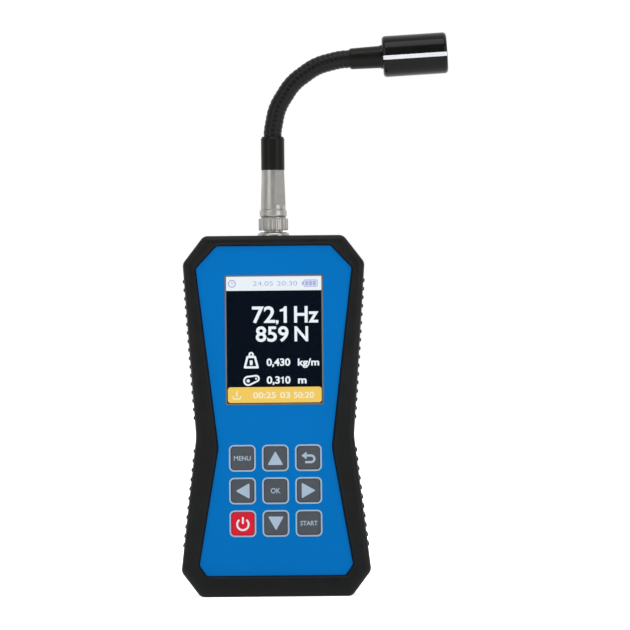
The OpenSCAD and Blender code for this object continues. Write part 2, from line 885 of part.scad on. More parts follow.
module battery_door() {
    ridge_count = 5;
    ridge_w = 2 * cell_pitch;
    ridge_r = 0.6;
    ridge_pitch = 4 * ridge_r;
    ridge_top = door_top - 2 * door_r;
    color("#262627")
        difference() {
            union() {
                plate(door_outline(slide_gap), door_seat + seat_gap, rear_face);
                for (i = [0:ridge_count - 1])
                    translate([-ridge_w / 2, rear_face, ridge_top - i * ridge_pitch])
                        rotate([0, 90, 0])
                            cylinder(h = ridge_w, r = ridge_r);
            }
            rod(door_screw_d / 2 + slide_gap / 2, 0, door_screw_z, door_seat - over, rear_face + over);
            rod(door_head_d / 2 + slide_gap, 0, door_screw_z, door_head_seat, rear_face + over);
        }
}

module door_screw() {
    slot_w = 0.8;
    color("#8d9094")
        translate([0, 0, door_screw_z])
            difference() {
                union() {
                    post(door_screw_d / 2, door_head_seat - door_screw_len, door_head_seat);
                    post(door_head_d / 2, door_head_seat, door_head_seat + door_head_h);
                }
                translate([-door_head_d, door_head_seat + door_head_h / 2, -slot_w / 2])
                    cube([2 * door_head_d, door_head_h, slot_w]);
            }
}

// Each cell's place; every second cell stands on its head
module each_cell() {
    for (i = [0:cell_count - 1])
        translate([(i - (cell_count - 1) / 2) * cell_pitch, cell_y, bay_z])
            rotate([0, i % 2 == 0 ? 0 : 180, 0])
                children();
}

// Height of a cell's foot, measured from the middle of the bay
cell_foot = -bay_h / 2 + plate_t + spring_len + 2 * seat_gap;

module battery_cells() {
    color("#4f6f52")
        each_cell()
            translate([0, 0, cell_foot]) {
                cylinder(h = cell_len - cap_h, d = cell_d);
                cylinder(h = cell_len, d = cap_d);
            }
}

// Wire coil that narrows towards its top
module coil(r0, r1, h, turns, wire) {
    sides = 5;
    steps = 10 * turns;
    rise = h - wire;
    points = [for (k = [0:steps])
        let (t = k / steps, a = 360 * turns * t, r = r0 + (r1 - r0) * t, z = wire / 2 + rise * t)
        for (s = [0:sides - 1])
            let (b = 360 * s / sides, q = r + wire / 2 * cos(b))
            [q * cos(a), q * sin(a), z + wire / 2 * sin(b)]];
    skin = [for (k = [0:steps - 1]) for (s = [0:sides - 1])
        let (p = k * sides + s, q = k * sides + (s + 1) % sides)
        each [[p, q, q + sides], [p, q + sides, p + sides]]];
    foot = [for (s = [sides - 1:-1:0]) s];
    tip = [for (s = [0:sides - 1]) steps * sides + s];
    polyhedron(points, concat([foot, tip], skin));
}

module battery_springs() {
    turns = 3;
    color("#c9ccd0")
        each_cell()
            translate([0, 0, -bay_h / 2 + plate_t + seat_gap])
                coil(plate_w / 2 - wire_d, cap_d / 2, spring_len, turns, wire_d);
}

module battery_plates() {
    color("#c9ccd0")
        each_cell()
            for (end = [-1, 1])
                translate([-plate_w / 2, -plate_w / 2, end * (bay_h - plate_t) / 2 - plate_t / 2])
                    cube([plate_w, plate_w, plate_t]);
}

// Connector socket
module socket_body() {
    flange_z = case_top + socket_seal_t;
    color("#b9b6b0")
        rotate_extrude()
            polygon(concat(
                [
                    [socket_bore_d / 2, socket_foot],
                    [neck_thread_d / 2, socket_foot],
                    [neck_thread_d / 2, flange_z],
                    [flange_d / 2, flange_z]
                ],
                [for (a = [0:15:90])
                    [flange_d / 2 - flange_h * (1 - cos(a)), flange_top - flange_h * (1 - sin(a))]],
                [
                    [neck_thread_d / 2, flange_top],
                    [neck_thread_d / 2, socket_top],
                    [socket_bore_d / 2, socket_top]
                ]
            ));
}

module socket_seal() {
    color("#303336")
        translate([0, 0, case_top])
            difference() {
                cylinder(h = socket_seal_t, d = flange_d - 2 * seal_inset);
                translate([0, 0, -over])
                    cylinder(h = socket_seal_t + 2 * over, d = neck_thread_d + 2 * seat_gap);
            }
}

module socket_nut() {
    color("#b9b6b0")
        translate([0, 0, case_top - shell_wall - nut_t])
            difference() {
                cylinder(h = nut_t, d = nut_af / cos(30), $fn = 6);
                translate([0, 0, -over])
                    cylinder(h = nut_t + 2 * over, d = neck_thread_d + 2 * seat_gap);
            }
}

// Each contact's place on its circle
module each_pin() {
    for (i = [0:pin_count - 1])
        rotate(360 * i / pin_count)
            translate([pin_circle_d / 2, 0, 0])
                children();
}

module socket_insert() {
    color("#17181a")
        difference() {
            translate([0, 0, socket_foot])
                cylinder(h = insert_top - socket_foot, d = socket_bore_d - 2 * seat_gap);
            each_pin() {
                translate([0, 0, insert_top - pin_in - over])
                    cylinder(h = pin_in + 2 * over, d = pin_d + 2 * slide_gap);
                translate([0, 0, socket_foot - over])
                    cylinder(h = pin_in + over, d = pin_d + 2 * seat_gap);
            }
        }
}

module socket_pins() {
    color("#d8b54a")
        each_pin()
            translate([0, 0, socket_foot - pin_tail])
                cylinder(h = pin_tail + pin_in - seat_gap, d = pin_d);
}

// Plug
module coupling_ring() {
    groove_r = 1;
    color("#b9b6b0")
        difference() {
            translate([0, 0, ring_z])
                rotate_extrude()
                    polygon([
                        [neck_thread_d / 2 + slide_gap, 0],
                        [ring_d / 2 - ring_groove_t, 0],
                        [ring_d / 2, ring_groove_t],
                        [ring_d / 2, ring_h - ring_groove_t],
                        [ring_d / 2 - ring_groove_t, ring_h],
                        [plug_neck_d / 2 + turn_gap, ring_h],
                        [plug_neck_d / 2 + turn_gap, ring_h - ring_lip_h],
                        [neck_thread_d / 2 + slide_gap, ring_h - ring_lip_h]
                    ]);
            for (i = [0:ring_grooves - 1])
                rotate(360 * i / ring_grooves)
                    translate([ring_d / 2 + groove_r - ring_groove_t, 0, ring_z - over])
                        cylinder(h = ring_h + 2 * over, r = groove_r);
        }
}

module plug_shell() {
    nose_r = socket_bore_d / 2 - slide_gap;
    bore_r = plug_bore_r;
    collar_edge = 1;
    spigot_top = sleeve_z + spigot_h;
    color("#c2bfb8")
        difference() {
            rotate_extrude()
                polygon(concat(
                    [
                        [bore_r, nose_z],
                        [nose_r, nose_z],
                        [nose_r, retainer_z],
                        [neck_thread_d / 2, retainer_z],
                        [neck_thread_d / 2, retainer_z + retainer_t],
                        [plug_neck_d / 2, retainer_z + retainer_t],
                        [plug_neck_d / 2, ring_top + seat_gap],
                        [groove_d / 2, ring_top + seat_gap],
                        [groove_d / 2, collar_z]
                    ],
                    [for (a = [-90:30:0])
                        [collar_d / 2 - collar_edge * (1 - cos(a)), collar_z + collar_edge * (1 + sin(a))]],
                    [for (a = [0:30:90])
                        [collar_d / 2 - collar_edge * (1 - cos(a)), taper_z - collar_edge * (1 - sin(a))]],
                    [
                        [taper_foot_d / 2, taper_z],
                        [taper_top_d / 2, sleeve_z],
                        [spigot_d / 2, sleeve_z],
                        [spigot_d / 2, spigot_top],
                        [bore_r, spigot_top]
                    ]
                ));
            for (side = [0, 180])
                rotate(side - 45)
                    translate([flats_af / 2, -taper_foot_d, taper_z + flats_rise])
                        cube([taper_foot_d, 2 * taper_foot_d, taper_h - flats_rise]);
        }
}

module plug_insert() {
    color("#17181a")
        translate([0, 0, nose_z])
            difference() {
                cylinder(h = plug_insert_h, r = plug_bore_r - seat_gap);
                each_pin()
                    translate([0, 0, -over])
                        cylinder(h = plug_insert_h + 2 * over, d = pin_d + seat_gap);
            }
}

module plug_pins() {
    color("#d8b54a")
        each_pin()
            translate([0, 0, insert_top - pin_in])
                cylinder(h = pin_in + plug_insert_h + pin_tail, d = pin_d);
}

module lower_sleeve() {
    top_chamfer = 1;
    color("#1d1d1e")
        rotate_extrude()
            polygon([
                [spigot_d / 2 + seat_gap, sleeve_z],
                [sleeve_d / 2, sleeve_z],
                [sleeve_d / 2, neck_z - top_chamfer],
                [sleeve_d / 2 - top_chamfer / 2, neck_z],
                [neck_r - neck_groove + seat_gap, neck_z],
                [neck_r - neck_groove + seat_gap, sleeve_z + spigot_h + seat_gap],
                [spigot_d / 2 + seat_gap, sleeve_z + spigot_h + seat_gap]
            ]);
}

// Gooseneck
// Number of bending joints up to joint j
function bends(j) = len([for (k = [1:1:j]) if (len(search(k, swing_joints)) == 0) k]);
// Lean of the neck away from upright just after joint j
function lean(j) = neck_bend * bends(j) / bend_count;
// Place of joint j in X and Z
function joint_at(j) =
    j == 1
        ? [0, neck_z + link_len / 2]
        : joint_at(j - 1) + link_len * [sin(lean(j - 1)), cos(lean(j - 1))];

// Stands children on joint j, with Z along the link after it
module on_joint(j) {
    p = joint_at(j);
    translate([p.x, 0, p.y])
        rotate([0, lean(j), 0])
            children();
}

// Outer profile of two ribs between two heights
function ribs(z0, z1) =
    let (pitch = (z1 - z0) / 2)
    [for (i = [0:1]) each [
        [neck_r - neck_groove, z0 + i * pitch],
        [neck_r, z0 + (i + 0.3) * pitch],
        [neck_r, z0 + (i + 0.7) * pitch],
        [neck_r - neck_groove, z0 + (i + 1) * pitch]
    ]];

// Profile of the cup round the near joint, from its roof to its lip
function cup_profile() =
    concat(
        [[channel_r, cup_roof]],
        dome(cup_r, 0, asin(cup_roof / cup_r), -asin(cup_drop / cup_r), 8)
    );

// Profile of the ball round the joint at height z
function ball_profile(z) = dome(ball_r, z, -asin(ball_foot / ball_r), asin(ball_rise / ball_r), 8);

module neck_base() {
    z = neck_z + link_len / 2;
    foot = sleeve_z + spigot_h + 2 * seat_gap;
    color("#202021")
        rotate_extrude()
            polygon(concat(
                [
                    [channel_r, foot],
                    [neck_r - neck_groove, foot],
                    [neck_r - neck_groove, z - ball_foot]
                ],
                ball_profile(z),
                [[channel_r, z + ball_rise]]
            ));
}

module neck_link(i) {
    color("#202021")
        on_joint(i)
            rotate_extrude()
                polygon(concat(
                    cup_profile(),
                    ribs(-cup_drop, link_len - ball_foot),
                    ball_profile(link_len),
                    [[channel_r, link_len + ball_rise]]
                ));
}

module neck_end() {
    color("#202021")
        on_joint(joint_count)
            rotate_extrude()
                polygon(concat(
                    cup_profile(),
                    ribs(-cup_drop, sleeve_start),
                    [
                        [spigot_r, sleeve_start + seat_gap],
                        [spigot_r, head_start + head_back_t - seat_gap],
                        [channel_r, head_start + head_back_t - seat_gap]
                    ]
                ));
}

// Sensor head
module upper_sleeve() {
    chamfer = 0.8;
    color("#1d1d1e")
        on_joint(joint_count)
            rotate_extrude()
                polygon([
                    [spigot_r + seat_gap, sleeve_start + 2 * seat_gap],
                    [upper_sleeve_d1 / 2 - chamfer / 2, sleeve_start + 2 * seat_gap],
                    [upper_sleeve_d1 / 2, sleeve_start + chamfer],
                    [upper_sleeve_d2 / 2, collar_start],
                    [spigot_r + seat_gap, collar_start]
                ]);
}

module head_collar() {
    color("#1d1d1e")
        on_joint(joint_count)
            translate([0, 0, collar_start])
                difference() {
                    cylinder(h = head_collar_len, d = head_collar_d);
                    translate([0, 0, -over])
                        cylinder(h = head_collar_len + 2 * over, r = spigot_r + seat_gap);
                }
}

module head_shell() {
    step_r = head_in_r - window_rim;
    color("#141416")
        on_joint(joint_count)
            rotate_extrude()
                polygon(concat(
                    [[spigot_r + seat_gap, head_start]],
                    [for (a = [-90:15:0])
                        [head_d / 2 - head_r * (1 - cos(a)), head_start + head_r * (1 + sin(a))]],
                    [for (a = [0:15:90])
                        [head_d / 2 - head_r * (1 - cos(a)), head_end - head_r * (1 - sin(a))]],
                    [
                        [head_in_r, head_end],
                        [head_in_r, window_back],
                        [step_r, window_back],
                        [step_r, window_back - window_rim],
                        [head_in_r, window_back - 2 * window_rim],
                        [head_in_r, sensor_board_z],
                        [step_r, sensor_board_z],
                        [step_r, head_start + head_back_t],
                        [spigot_r + seat_gap, head_start + head_back_t]
                    ]
                ));
}

module sensor_window() {
    color("#2a1216")
        on_joint(joint_count)
            translate([0, 0, window_back])
                cylinder(h = window_t, r = head_in_r - seat_gap);
}

module window_ring() {
    color("#26262a")
        on_joint(joint_count)
            translate([0, 0, window_front])
                difference() {
                    cylinder(h = window_sink / 2, r = head_in_r - seat_gap);
                    translate([0, 0, -over])
                        cylinder(h = window_sink + 2 * over, r = head_in_r - window_rim);
                }
}

module sensor_board() {
    color("#1f6b3f")
        on_joint(joint_count)
            translate([0, 0, sensor_board_z])
                cylinder(h = sensor_board_t, r = head_in_r - seat_gap);
}

module sensor_diodes() {
    color("#3a2430")
        on_joint(joint_count)
            for (side = [-1, 1])
                translate([0, side * diode_pitch / 2, sensor_board_z + sensor_board_t]) {
                    cylinder(h = diode_h - diode_d / 2, d = diode_d);
                    translate([0, 0, diode_h - diode_d / 2])
                        sphere(d = diode_d);
                }
}

key_tint = "#4c5358";
power_tint = "#cd1d32";

rubber_boot();
front_shell();
rear_shell();
case_seal();
case_screws();
front_overlay();
display_window();
display_gasket();
display_module();
main_board();
board_screws();
board_chips();
key_switches();
key(-1, 2, key_tint);  // key_menu
key(0, 2, key_tint);  // key_up
key(1, 2, key_tint);  // key_back
key(-1, 1, key_tint);  // key_left
key(0, 1, key_tint);  // key_ok
key(1, 1, key_tint);  // key_right
key(-1, 0, power_tint);  // key_power
key(0, 0, key_tint);  // key_down
key(1, 0, key_tint);  // key_start
battery_door();
door_screw();
battery_cells();
battery_springs();
battery_plates();
socket_body();
socket_seal();
socket_nut();
socket_insert();
socket_pins();
coupling_ring();
plug_shell();
plug_insert();
plug_pins();
lower_sleeve();
neck_base();
neck_link(1);  // neck_link_01
neck_link(2);  // neck_link_02
neck_link(3);  // neck_link_03
neck_link(4);  // neck_link_04
neck_link(5);  // neck_link_05
neck_link(6);  // neck_link_06
neck_link(7);  // neck_link_07
neck_link(8);  // neck_link_08
neck_link(9);  // neck_link_09
neck_link(10);  // neck_link_10
neck_link(11);  // neck_link_11
neck_end();
upper_sleeve();
head_collar();
head_shell();
sensor_window();
window_ring();
sensor_board();
sensor_diodes();
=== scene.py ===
"""Looks of a handheld belt tension tester with a plug-in gooseneck sensor.

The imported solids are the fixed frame. Each sub-assembly is a class that holds its sizes in millimetres,
builds its meshes in that frame and dresses them, and each finish is named for the real material.
"""

from __future__ import annotations

import json
import logging
import math
from dataclasses import dataclass, field
from enum import Enum
from typing import Any, Iterable, Sequence

import bmesh
import bpy
from mathutils import Matrix, Vector

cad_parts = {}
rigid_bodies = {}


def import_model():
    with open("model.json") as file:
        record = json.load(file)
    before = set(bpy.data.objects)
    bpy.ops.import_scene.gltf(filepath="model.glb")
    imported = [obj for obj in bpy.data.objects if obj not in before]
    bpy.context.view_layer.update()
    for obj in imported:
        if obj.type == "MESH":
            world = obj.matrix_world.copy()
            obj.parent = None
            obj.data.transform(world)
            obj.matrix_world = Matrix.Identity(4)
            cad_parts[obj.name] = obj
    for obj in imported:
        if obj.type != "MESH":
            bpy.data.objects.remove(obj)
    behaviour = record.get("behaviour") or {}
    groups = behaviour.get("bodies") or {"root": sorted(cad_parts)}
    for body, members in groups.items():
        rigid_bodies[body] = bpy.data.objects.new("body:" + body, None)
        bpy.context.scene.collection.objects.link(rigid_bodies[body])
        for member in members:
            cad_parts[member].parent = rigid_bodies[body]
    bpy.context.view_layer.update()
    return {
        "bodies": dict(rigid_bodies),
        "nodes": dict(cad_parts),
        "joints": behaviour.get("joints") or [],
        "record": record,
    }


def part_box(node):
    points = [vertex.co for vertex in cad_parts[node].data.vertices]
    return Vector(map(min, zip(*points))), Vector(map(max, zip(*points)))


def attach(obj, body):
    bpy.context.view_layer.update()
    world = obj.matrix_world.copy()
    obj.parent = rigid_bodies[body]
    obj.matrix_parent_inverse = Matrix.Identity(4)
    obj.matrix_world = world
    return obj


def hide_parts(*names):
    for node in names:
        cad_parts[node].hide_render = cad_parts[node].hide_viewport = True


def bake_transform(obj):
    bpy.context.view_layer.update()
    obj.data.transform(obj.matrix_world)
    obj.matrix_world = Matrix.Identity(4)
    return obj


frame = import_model()

log = logging.getLogger("belt_tester")
MM = 0.001

Corner = tuple[float, float, float]
Point = tuple[float, float]
Outline = list[Point]


def linear(code: str) -> tuple[float, float, float, float]:
    """Turn an sRGB hex value into linear colour.

    Args:
        code: The colour as #rrggbb.

    Returns:
        Linear red, green, blue and an alpha of one.
    """
    shares = [int(code[i:i + 2], 16) / 255 for i in (1, 3, 5)]
    red, green, blue = (s / 12.92 if s <= 0.04045 else ((s + 0.055) / 1.055) ** 2.4 for s in shares)
    return red, green, blue, 1.0


def add_node(
    tree: bpy.types.NodeTree,
    kind: str,
    inputs: dict[str | int, Any] | None = None,
    **settings: Any,
) -> bpy.types.Node:
    """Add one node with its settings, values and links.

    Args:
        tree: The tree that gets the node.
        kind: The node's type.
        inputs: Values or output sockets, by the name or number of the input they go to.
        **settings: Properties of the node itself.

    Returns:
        The new node.
    """
    made = tree.nodes.new(kind)
    for name, value in settings.items():
        setattr(made, name, value)
    for key, value in (inputs or {}).items():
        if isinstance(value, bpy.types.NodeSocket):
            tree.links.new(value, made.inputs[key])
        else:
            made.inputs[key].default_value = value
    return made


class Grain(Enum):
    """How a surface got its fine relief."""

    MOULDED = "soft dimples of a spark-eroded mould"
    BLASTED = "small craters of bead blasting"
    TURNED = "fine rings left by a lathe"


@dataclass(frozen=True)
class Surface:
    """What all finishes share: a name, a main colour and the way that the material is made."""

    name: str
    colour: str

    def shader(self, tree: bpy.types.NodeTree, place: bpy.types.NodeSocket) -> bpy.types.Node:
        """Add the nodes that give the surface its look.

        Args:
            tree: The material's tree.
            place: Object coordinates.

        Returns:
            The shader's node.
        """
        raise NotImplementedError

    def material(self) -> bpy.types.Material:
        """Build the material, or find it if it is there.

        Returns:
            The node material of this finish.
        """
        known = bpy.data.materials.get(self.name)
        if known:
            return known
        made = bpy.data.materials.new(self.name)
        made.use_nodes = True
        tree = made.node_tree
        tree.nodes.clear()
        place = add_node(tree, "ShaderNodeTexCoord").outputs["Object"]
        shader = self.shader(tree, place)
        add_node(tree, "ShaderNodeOutputMaterial", {"Surface": shader.outputs["BSDF"]})
        return made


@dataclass(frozen=True)
class Finish(Surface):
    """An opaque surface: two close colours in a slow mottle, over a fine relief.

    The first colour is the material's own, and the tint is where it is rubbed, dusty or thinner.
    """

    tint: str
    roughness: float
    spread: float = 0.06
    grain: Grain = Grain.MOULDED
    grain_mm: float = 0.5
    bump_mm: float = 0.01
    mottle_mm: float = 8.0
    metallic: float = 0.0
    ior: float = 1.5

    def relief(self, tree: bpy.types.NodeTree, place: bpy.types.NodeSocket) -> bpy.types.NodeSocket:
        """Add the texture of the grain.

        Args:
            tree: The material's tree.
            place: Object coordinates.

        Returns:
            The socket of the relief's height.
        """
        per_metre = 1 / (self.grain_mm * MM)
        if self.grain is Grain.BLASTED:
            cells = add_node(tree, "ShaderNodeTexVoronoi", {"Vector": place, "Scale": per_metre})
            return cells.outputs["Distance"]
        if self.grain is Grain.TURNED:
            waves_per_unit = 20 / (2 * math.pi)
            rings = add_node(
                tree,
                "ShaderNodeTexWave",
                {"Vector": place, "Scale": per_metre / waves_per_unit, "Distortion": 0.6, "Detail": 1.0},
                bands_direction="Z",
            )
            return rings.outputs["Fac"]
        dimples = add_node(tree, "ShaderNodeTexNoise", {"Vector": place, "Scale": per_metre, "Detail": 2.0})
        return dimples.outputs["Fac"]

    def shader(self, tree: bpy.types.NodeTree, place: bpy.types.NodeSocket) -> bpy.types.Node:
        """Add the mottle, the gloss that follows it and the relief.

        Args:
            tree: The material's tree.
            place: Object coordinates.

        Returns:
            The shader's node.
        """
        mottle = add_node(
            tree,
            "ShaderNodeTexNoise",
            {"Vector": place, "Scale": 1 / (self.mottle_mm * MM), "Detail": 3.0},
        ).outputs["Fac"]
        share = add_node(
            tree,
            "ShaderNodeMapRange",
            {"Value": mottle, "From Min": 0.3, "From Max": 0.7},
        ).outputs["Result"]
        colour = add_node(
            tree,
            "ShaderNodeMix",
            {0: share, 6: linear(self.colour), 7: linear(self.tint)},
            data_type="RGBA",
        ).outputs[2]
        gloss = add_node(
            tree,
            "ShaderNodeMapRange",
            {"Value": share, "To Min": self.roughness - self.spread, "To Max": self.roughness + self.spread},
        ).outputs["Result"]
        bump = add_node(
            tree,
            "ShaderNodeBump",
            {"Height": self.relief(tree, place), "Strength": 1.0, "Distance": self.bump_mm * MM},
        ).outputs["Normal"]
        shader = add_node(
            tree,
            "ShaderNodeBsdfPrincipled",
            {"Base Color": colour, "Roughness": gloss, "Normal": bump, "Metallic": self.metallic},
        )
        if not self.metallic:
            shader.inputs["IOR"].default_value = self.ior
        return shader


@dataclass(frozen=True)
class ClearFinish(Surface):
    """A see-through sheet with a faint film of fingerprints in its gloss."""

    ior: float
    film_mm: float = 6.0
    film: float = 0.05

    def shader(self, tree: bpy.types.NodeTree, place: bpy.types.NodeSocket) -> bpy.types.Node:
        """Add the film and the clear sheet.

        Args:
            tree: The material's tree.
            place: Object coordinates.

        Returns:
            The shader's node.
        """
        smear = add_node(
            tree,
            "ShaderNodeTexNoise",
            {"Vector": place, "Scale": 1 / (self.film_mm * MM), "Detail": 4.0},
        ).outputs["Fac"]
        gloss = add_node(
            tree,
            "ShaderNodeMapRange",
            {"Value": smear, "From Min": 0.45, "From Max": 0.8, "To Min": 0.0, "To Max": self.film},
        ).outputs["Result"]
        return add_node(
            tree,
            "ShaderNodeBsdfPrincipled",
            {
                "Base Color": linear(self.colour),
                "Roughness": gloss,
                "IOR": self.ior,
                "Transmission Weight": 1.0,
            },
        )


@dataclass(frozen=True)
class LitFinish(Surface):
    """Lit pixels of a colour display, with the dark net between them.

    The real pixels are 0.18 mm wide, too fine to show, so the net is drawn three times as coarse and faint.
    """

    net: str
    net_share: float = 0.08
    pixel_mm: float = 0.54

    def shader(self, tree: bpy.types.NodeTree, place: bpy.types.NodeSocket) -> bpy.types.Node:
        """Add the pixels and their light, on a black face that mirrors next to nothing.

        Args:
            tree: The material's tree.
            place: Object coordinates.

        Returns:
            The shader's node.
        """
        upright = add_node(tree, "ShaderNodeMapping", {"Vector": place, "Rotation": (math.pi / 2, 0.0, 0.0)})
        pixels = add_node(
            tree,
            "ShaderNodeTexBrick",
            {
                "Vector": upright.outputs["Vector"],
                "Color1": linear(self.colour),
                "Color2": linear(self.colour),
                "Mortar": linear(self.net),
                "Scale": 1 / (self.pixel_mm * MM),
                "Mortar Size": self.net_share,
                "Brick Width": 1.0,
                "Row Height": 1.0,
            },
            offset=0.0,
        )
        return add_node(
            tree,
            "ShaderNodeBsdfPrincipled",
            {
                "Base Color": linear("#000000"),
                "Roughness": 0.4,
                "IOR": 1.05,
                "Emission Color": pixels.outputs["Color"],
                "Emission Strength": 1.0,
            },
        )


@dataclass(frozen=True)
class Paper(Surface):
    """White paper under the part, with a glow that meets the white wall behind it."""

    fibre_mm: float = 3.0
    bump_mm: float = 0.02
    # Glow that lights the part, and the glow that the camera sees near the part and far from it, by metres
    glow: float = 0.35
    near: Point = (0.05, 0.7)
    far: Point = (0.4, 1.0)

    def shader(self, tree: bpy.types.NodeTree, place: bpy.types.NodeSocket) -> bpy.types.Node:
        """Add the fibres and the glow.

        Args:
            tree: The material's tree.
            place: Object coordinates.

        Returns:
            The shader's node.
        """
        per_metre = 1 / (self.fibre_mm * MM)
        fibre = add_node(tree, "ShaderNodeTexNoise", {"Vector": place, "Scale": per_metre}).outputs["Fac"]
        bump = add_node(tree, "ShaderNodeBump", {"Height": fibre, "Distance": self.bump_mm * MM})
        away = add_node(tree, "ShaderNodeVectorMath", {0: place}, operation="LENGTH").outputs["Value"]
        (start, dim), (end, bright) = self.near, self.far
        white = add_node(
            tree,
            "ShaderNodeMapRange",
            {"Value": away, "From Min": start, "From Max": end, "To Min": dim, "To Max": bright},
        ).outputs["Result"]
        seen = add_node(tree, "ShaderNodeLightPath").outputs["Is Camera Ray"]
        light = add_node(tree, "ShaderNodeMix", {0: seen, 2: self.glow, 3: white}).outputs[0]
        return add_node(
            tree,
            "ShaderNodeBsdfPrincipled",
            {
                "Base Color": linear(self.colour),
                "Roughness": 0.9,
                "Normal": bump.outputs["Normal"],
                "Emission Color": linear("#ffffff"),
                "Emission Strength": light,
            },
        )


# Moulded elastomer: matte, with a dry sheen at grazing light
BOOT_RUBBER = Finish(
    "moulded_tpe_rubber", "#0d0e0e", "#121313", 0.45, 0.07, grain_mm=0.45, bump_mm=0.012, ior=1.27
)
# Injection-moulded ABS with the fine texture of its mould
CASE_ABS = Finish("moulded_abs_black", "#1a1b1c", "#202122", 0.55, 0.07, grain_mm=0.6, bump_mm=0.03)
# Polyester foil printed from behind: even colour under a satin, finely embossed face
PANEL_FOIL = Finish(
    "printed_polyester_foil_blue",
    "#006ab3",
    "#006cb7",
    0.45,
    0.05,
    Grain.BLASTED,
    grain_mm=0.35,
    bump_mm=0.004,
    mottle_mm=22.0,
    ior=1.12,
)
# Silicone keys with a lacquered face
KEY_GREY = Finish(
    "lacquered_silicone_grey", "#474c52", "#4b5056", 0.48, 0.06, grain_mm=0.4, bump_mm=0.008, ior=1.25
)
KEY_RED = Finish(
    "lacquered_silicone_red", "#cb1029", "#d0162f", 0.45, 0.06, grain_mm=0.4, bump_mm=0.008, ior=1.25
)
# Screen-printed ink: slightly raised, flat gloss
INK_PALE = Finish(
    "screen_ink_pale_blue", "#9db0c3", "#a4b6c8", 0.5, 0.05, grain_mm=0.25, bump_mm=0.006, ior=1.25
)
# The white also colours the painted reflection of a strip light along the sensor barrel
INK_WHITE_AND_PAINTED_REFLECTION = Finish("screen_ink_white", "#dfe1e6", "#d8dae0", 0.5, 0.05, grain_mm=0.25, bump_mm=0.006)
INK_BORDER = Finish("screen_ink_grey", "#5d6067", "#666970", 0.5, 0.05, grain_mm=0.25, bump_mm=0.006)
# Acrylic with an anti-glare coat, which is why it mirrors so little
PANE_ACRYLIC = ClearFinish("coated_acrylic_clear", "#f4f8fa", 1.1)
# Deep red acrylic that passes the sensor's light
FILTER_ACRYLIC = ClearFinish("filter_acrylic_red", "#5a0c0e", 1.49)
# Turned brass under satin nickel: warm grey, with rings of the lathe
NICKEL = Finish(
    "satin_nickel_on_brass", "#b7b5b1", "#a9a7a2", 0.34, 0.07, Grain.TURNED, 0.22, 0.003, 5.0, metallic=1.0
)
# Wound steel tube in a tight black coat
NECK_COAT = Finish(
    "black_coated_steel_tube", "#0e0e0e", "#131313", 0.38, 0.05, grain_mm=0.3, bump_mm=0.003, ior=1.28
)
# Polyolefin sleeve shrunk on, satin
SLEEVE = Finish(
    "shrunk_polyolefin_sleeve", "#0c0d0b", "#11120f", 0.34, 0.05, grain_mm=0.5, bump_mm=0.006, ior=1.25
)
# Aluminium, polished and then anodised: deep gloss with little relief
BARREL = Finish(
    "anodised_aluminium_black", "#0a0a0c", "#0e0e10", 0.18, 0.03, grain_mm=0.4, bump_mm=0.001, ior=1.28
)
# Zinc-plated and nickel-plated steel
SCREW_STEEL = Finish(
    "zinc_plated_steel", "#b4b7ba", "#9fa3a6", 0.32, 0.08, Grain.BLASTED, 0.3, 0.004, 3.0, metallic=1.0
)
CONTACT_STEEL = Finish("nickel_plated_steel", "#c4c2bc", "#b2b0aa", 0.28, 0.06, mottle_mm=4.0, metallic=1.0)
CONTACT_GOLD = Finish("gold_plated_brass", "#d9b24c", "#cfa542", 0.25, 0.05, mottle_mm=3.0, metallic=1.0)
# What is inside: nitrile, solder mask on glass fibre, moulded epoxy, printed film, PBT, clear epoxy
SEAL_RUBBER = Finish("nitrile_seal", "#202224", "#282a2c", 0.6, 0.08, grain_mm=0.4, bump_mm=0.02)
BOARD = Finish("solder_mask_green", "#14532d", "#0f4626", 0.4, 0.08, Grain.BLASTED, 0.8, 0.01, 3.0)
CHIP_EPOXY = Finish("moulded_epoxy_black", "#1c1c1e", "#242426", 0.6, 0.08, grain_mm=0.3, bump_mm=0.01)
CELL_FILM = Finish("printed_cell_film", "#a08a2c", "#2b2c2e", 0.35, 0.08, mottle_mm=20.0, metallic=0.4)
INSERT_PBT = Finish("moulded_pbt_black", "#18191b", "#202124", 0.45, 0.06, grain_mm=0.4, bump_mm=0.01)
DIODE_EPOXY = Finish("clear_epoxy_lens", "#d8d8d2", "#c9c9c4", 0.15, 0.04, mottle_mm=2.0)
MODULE_FRAME = Finish("display_glass_dark", "#0b0f16", "#10151d", 0.25, 0.05, mottle_mm=10.0)
# What the display shows
LIT_DARK = LitFinish("lit_pixels_dark", "#08111d", "#060d17")
LIT_WHITE = LitFinish("lit_pixels_white", "#f8fbff", "#eef2f8")
LIT_LAVENDER = LitFinish("lit_pixels_lavender", "#b9bde6", "#aeb2dd")
LIT_AMBER = LitFinish("lit_pixels_amber", "#ffd468", "#f6c955")
LIT_CREAM = LitFinish("lit_pixels_cream", "#fff6dc", "#fbeecb")
# What the part stands on
STAGE_PAPER = Paper("white_paper", "#f4f4f4")


def unit(v: Point) -> Point:
    """Give a direction a length of one."""
    size = math.hypot(*v)
    return v[0] / size, v[1] / size


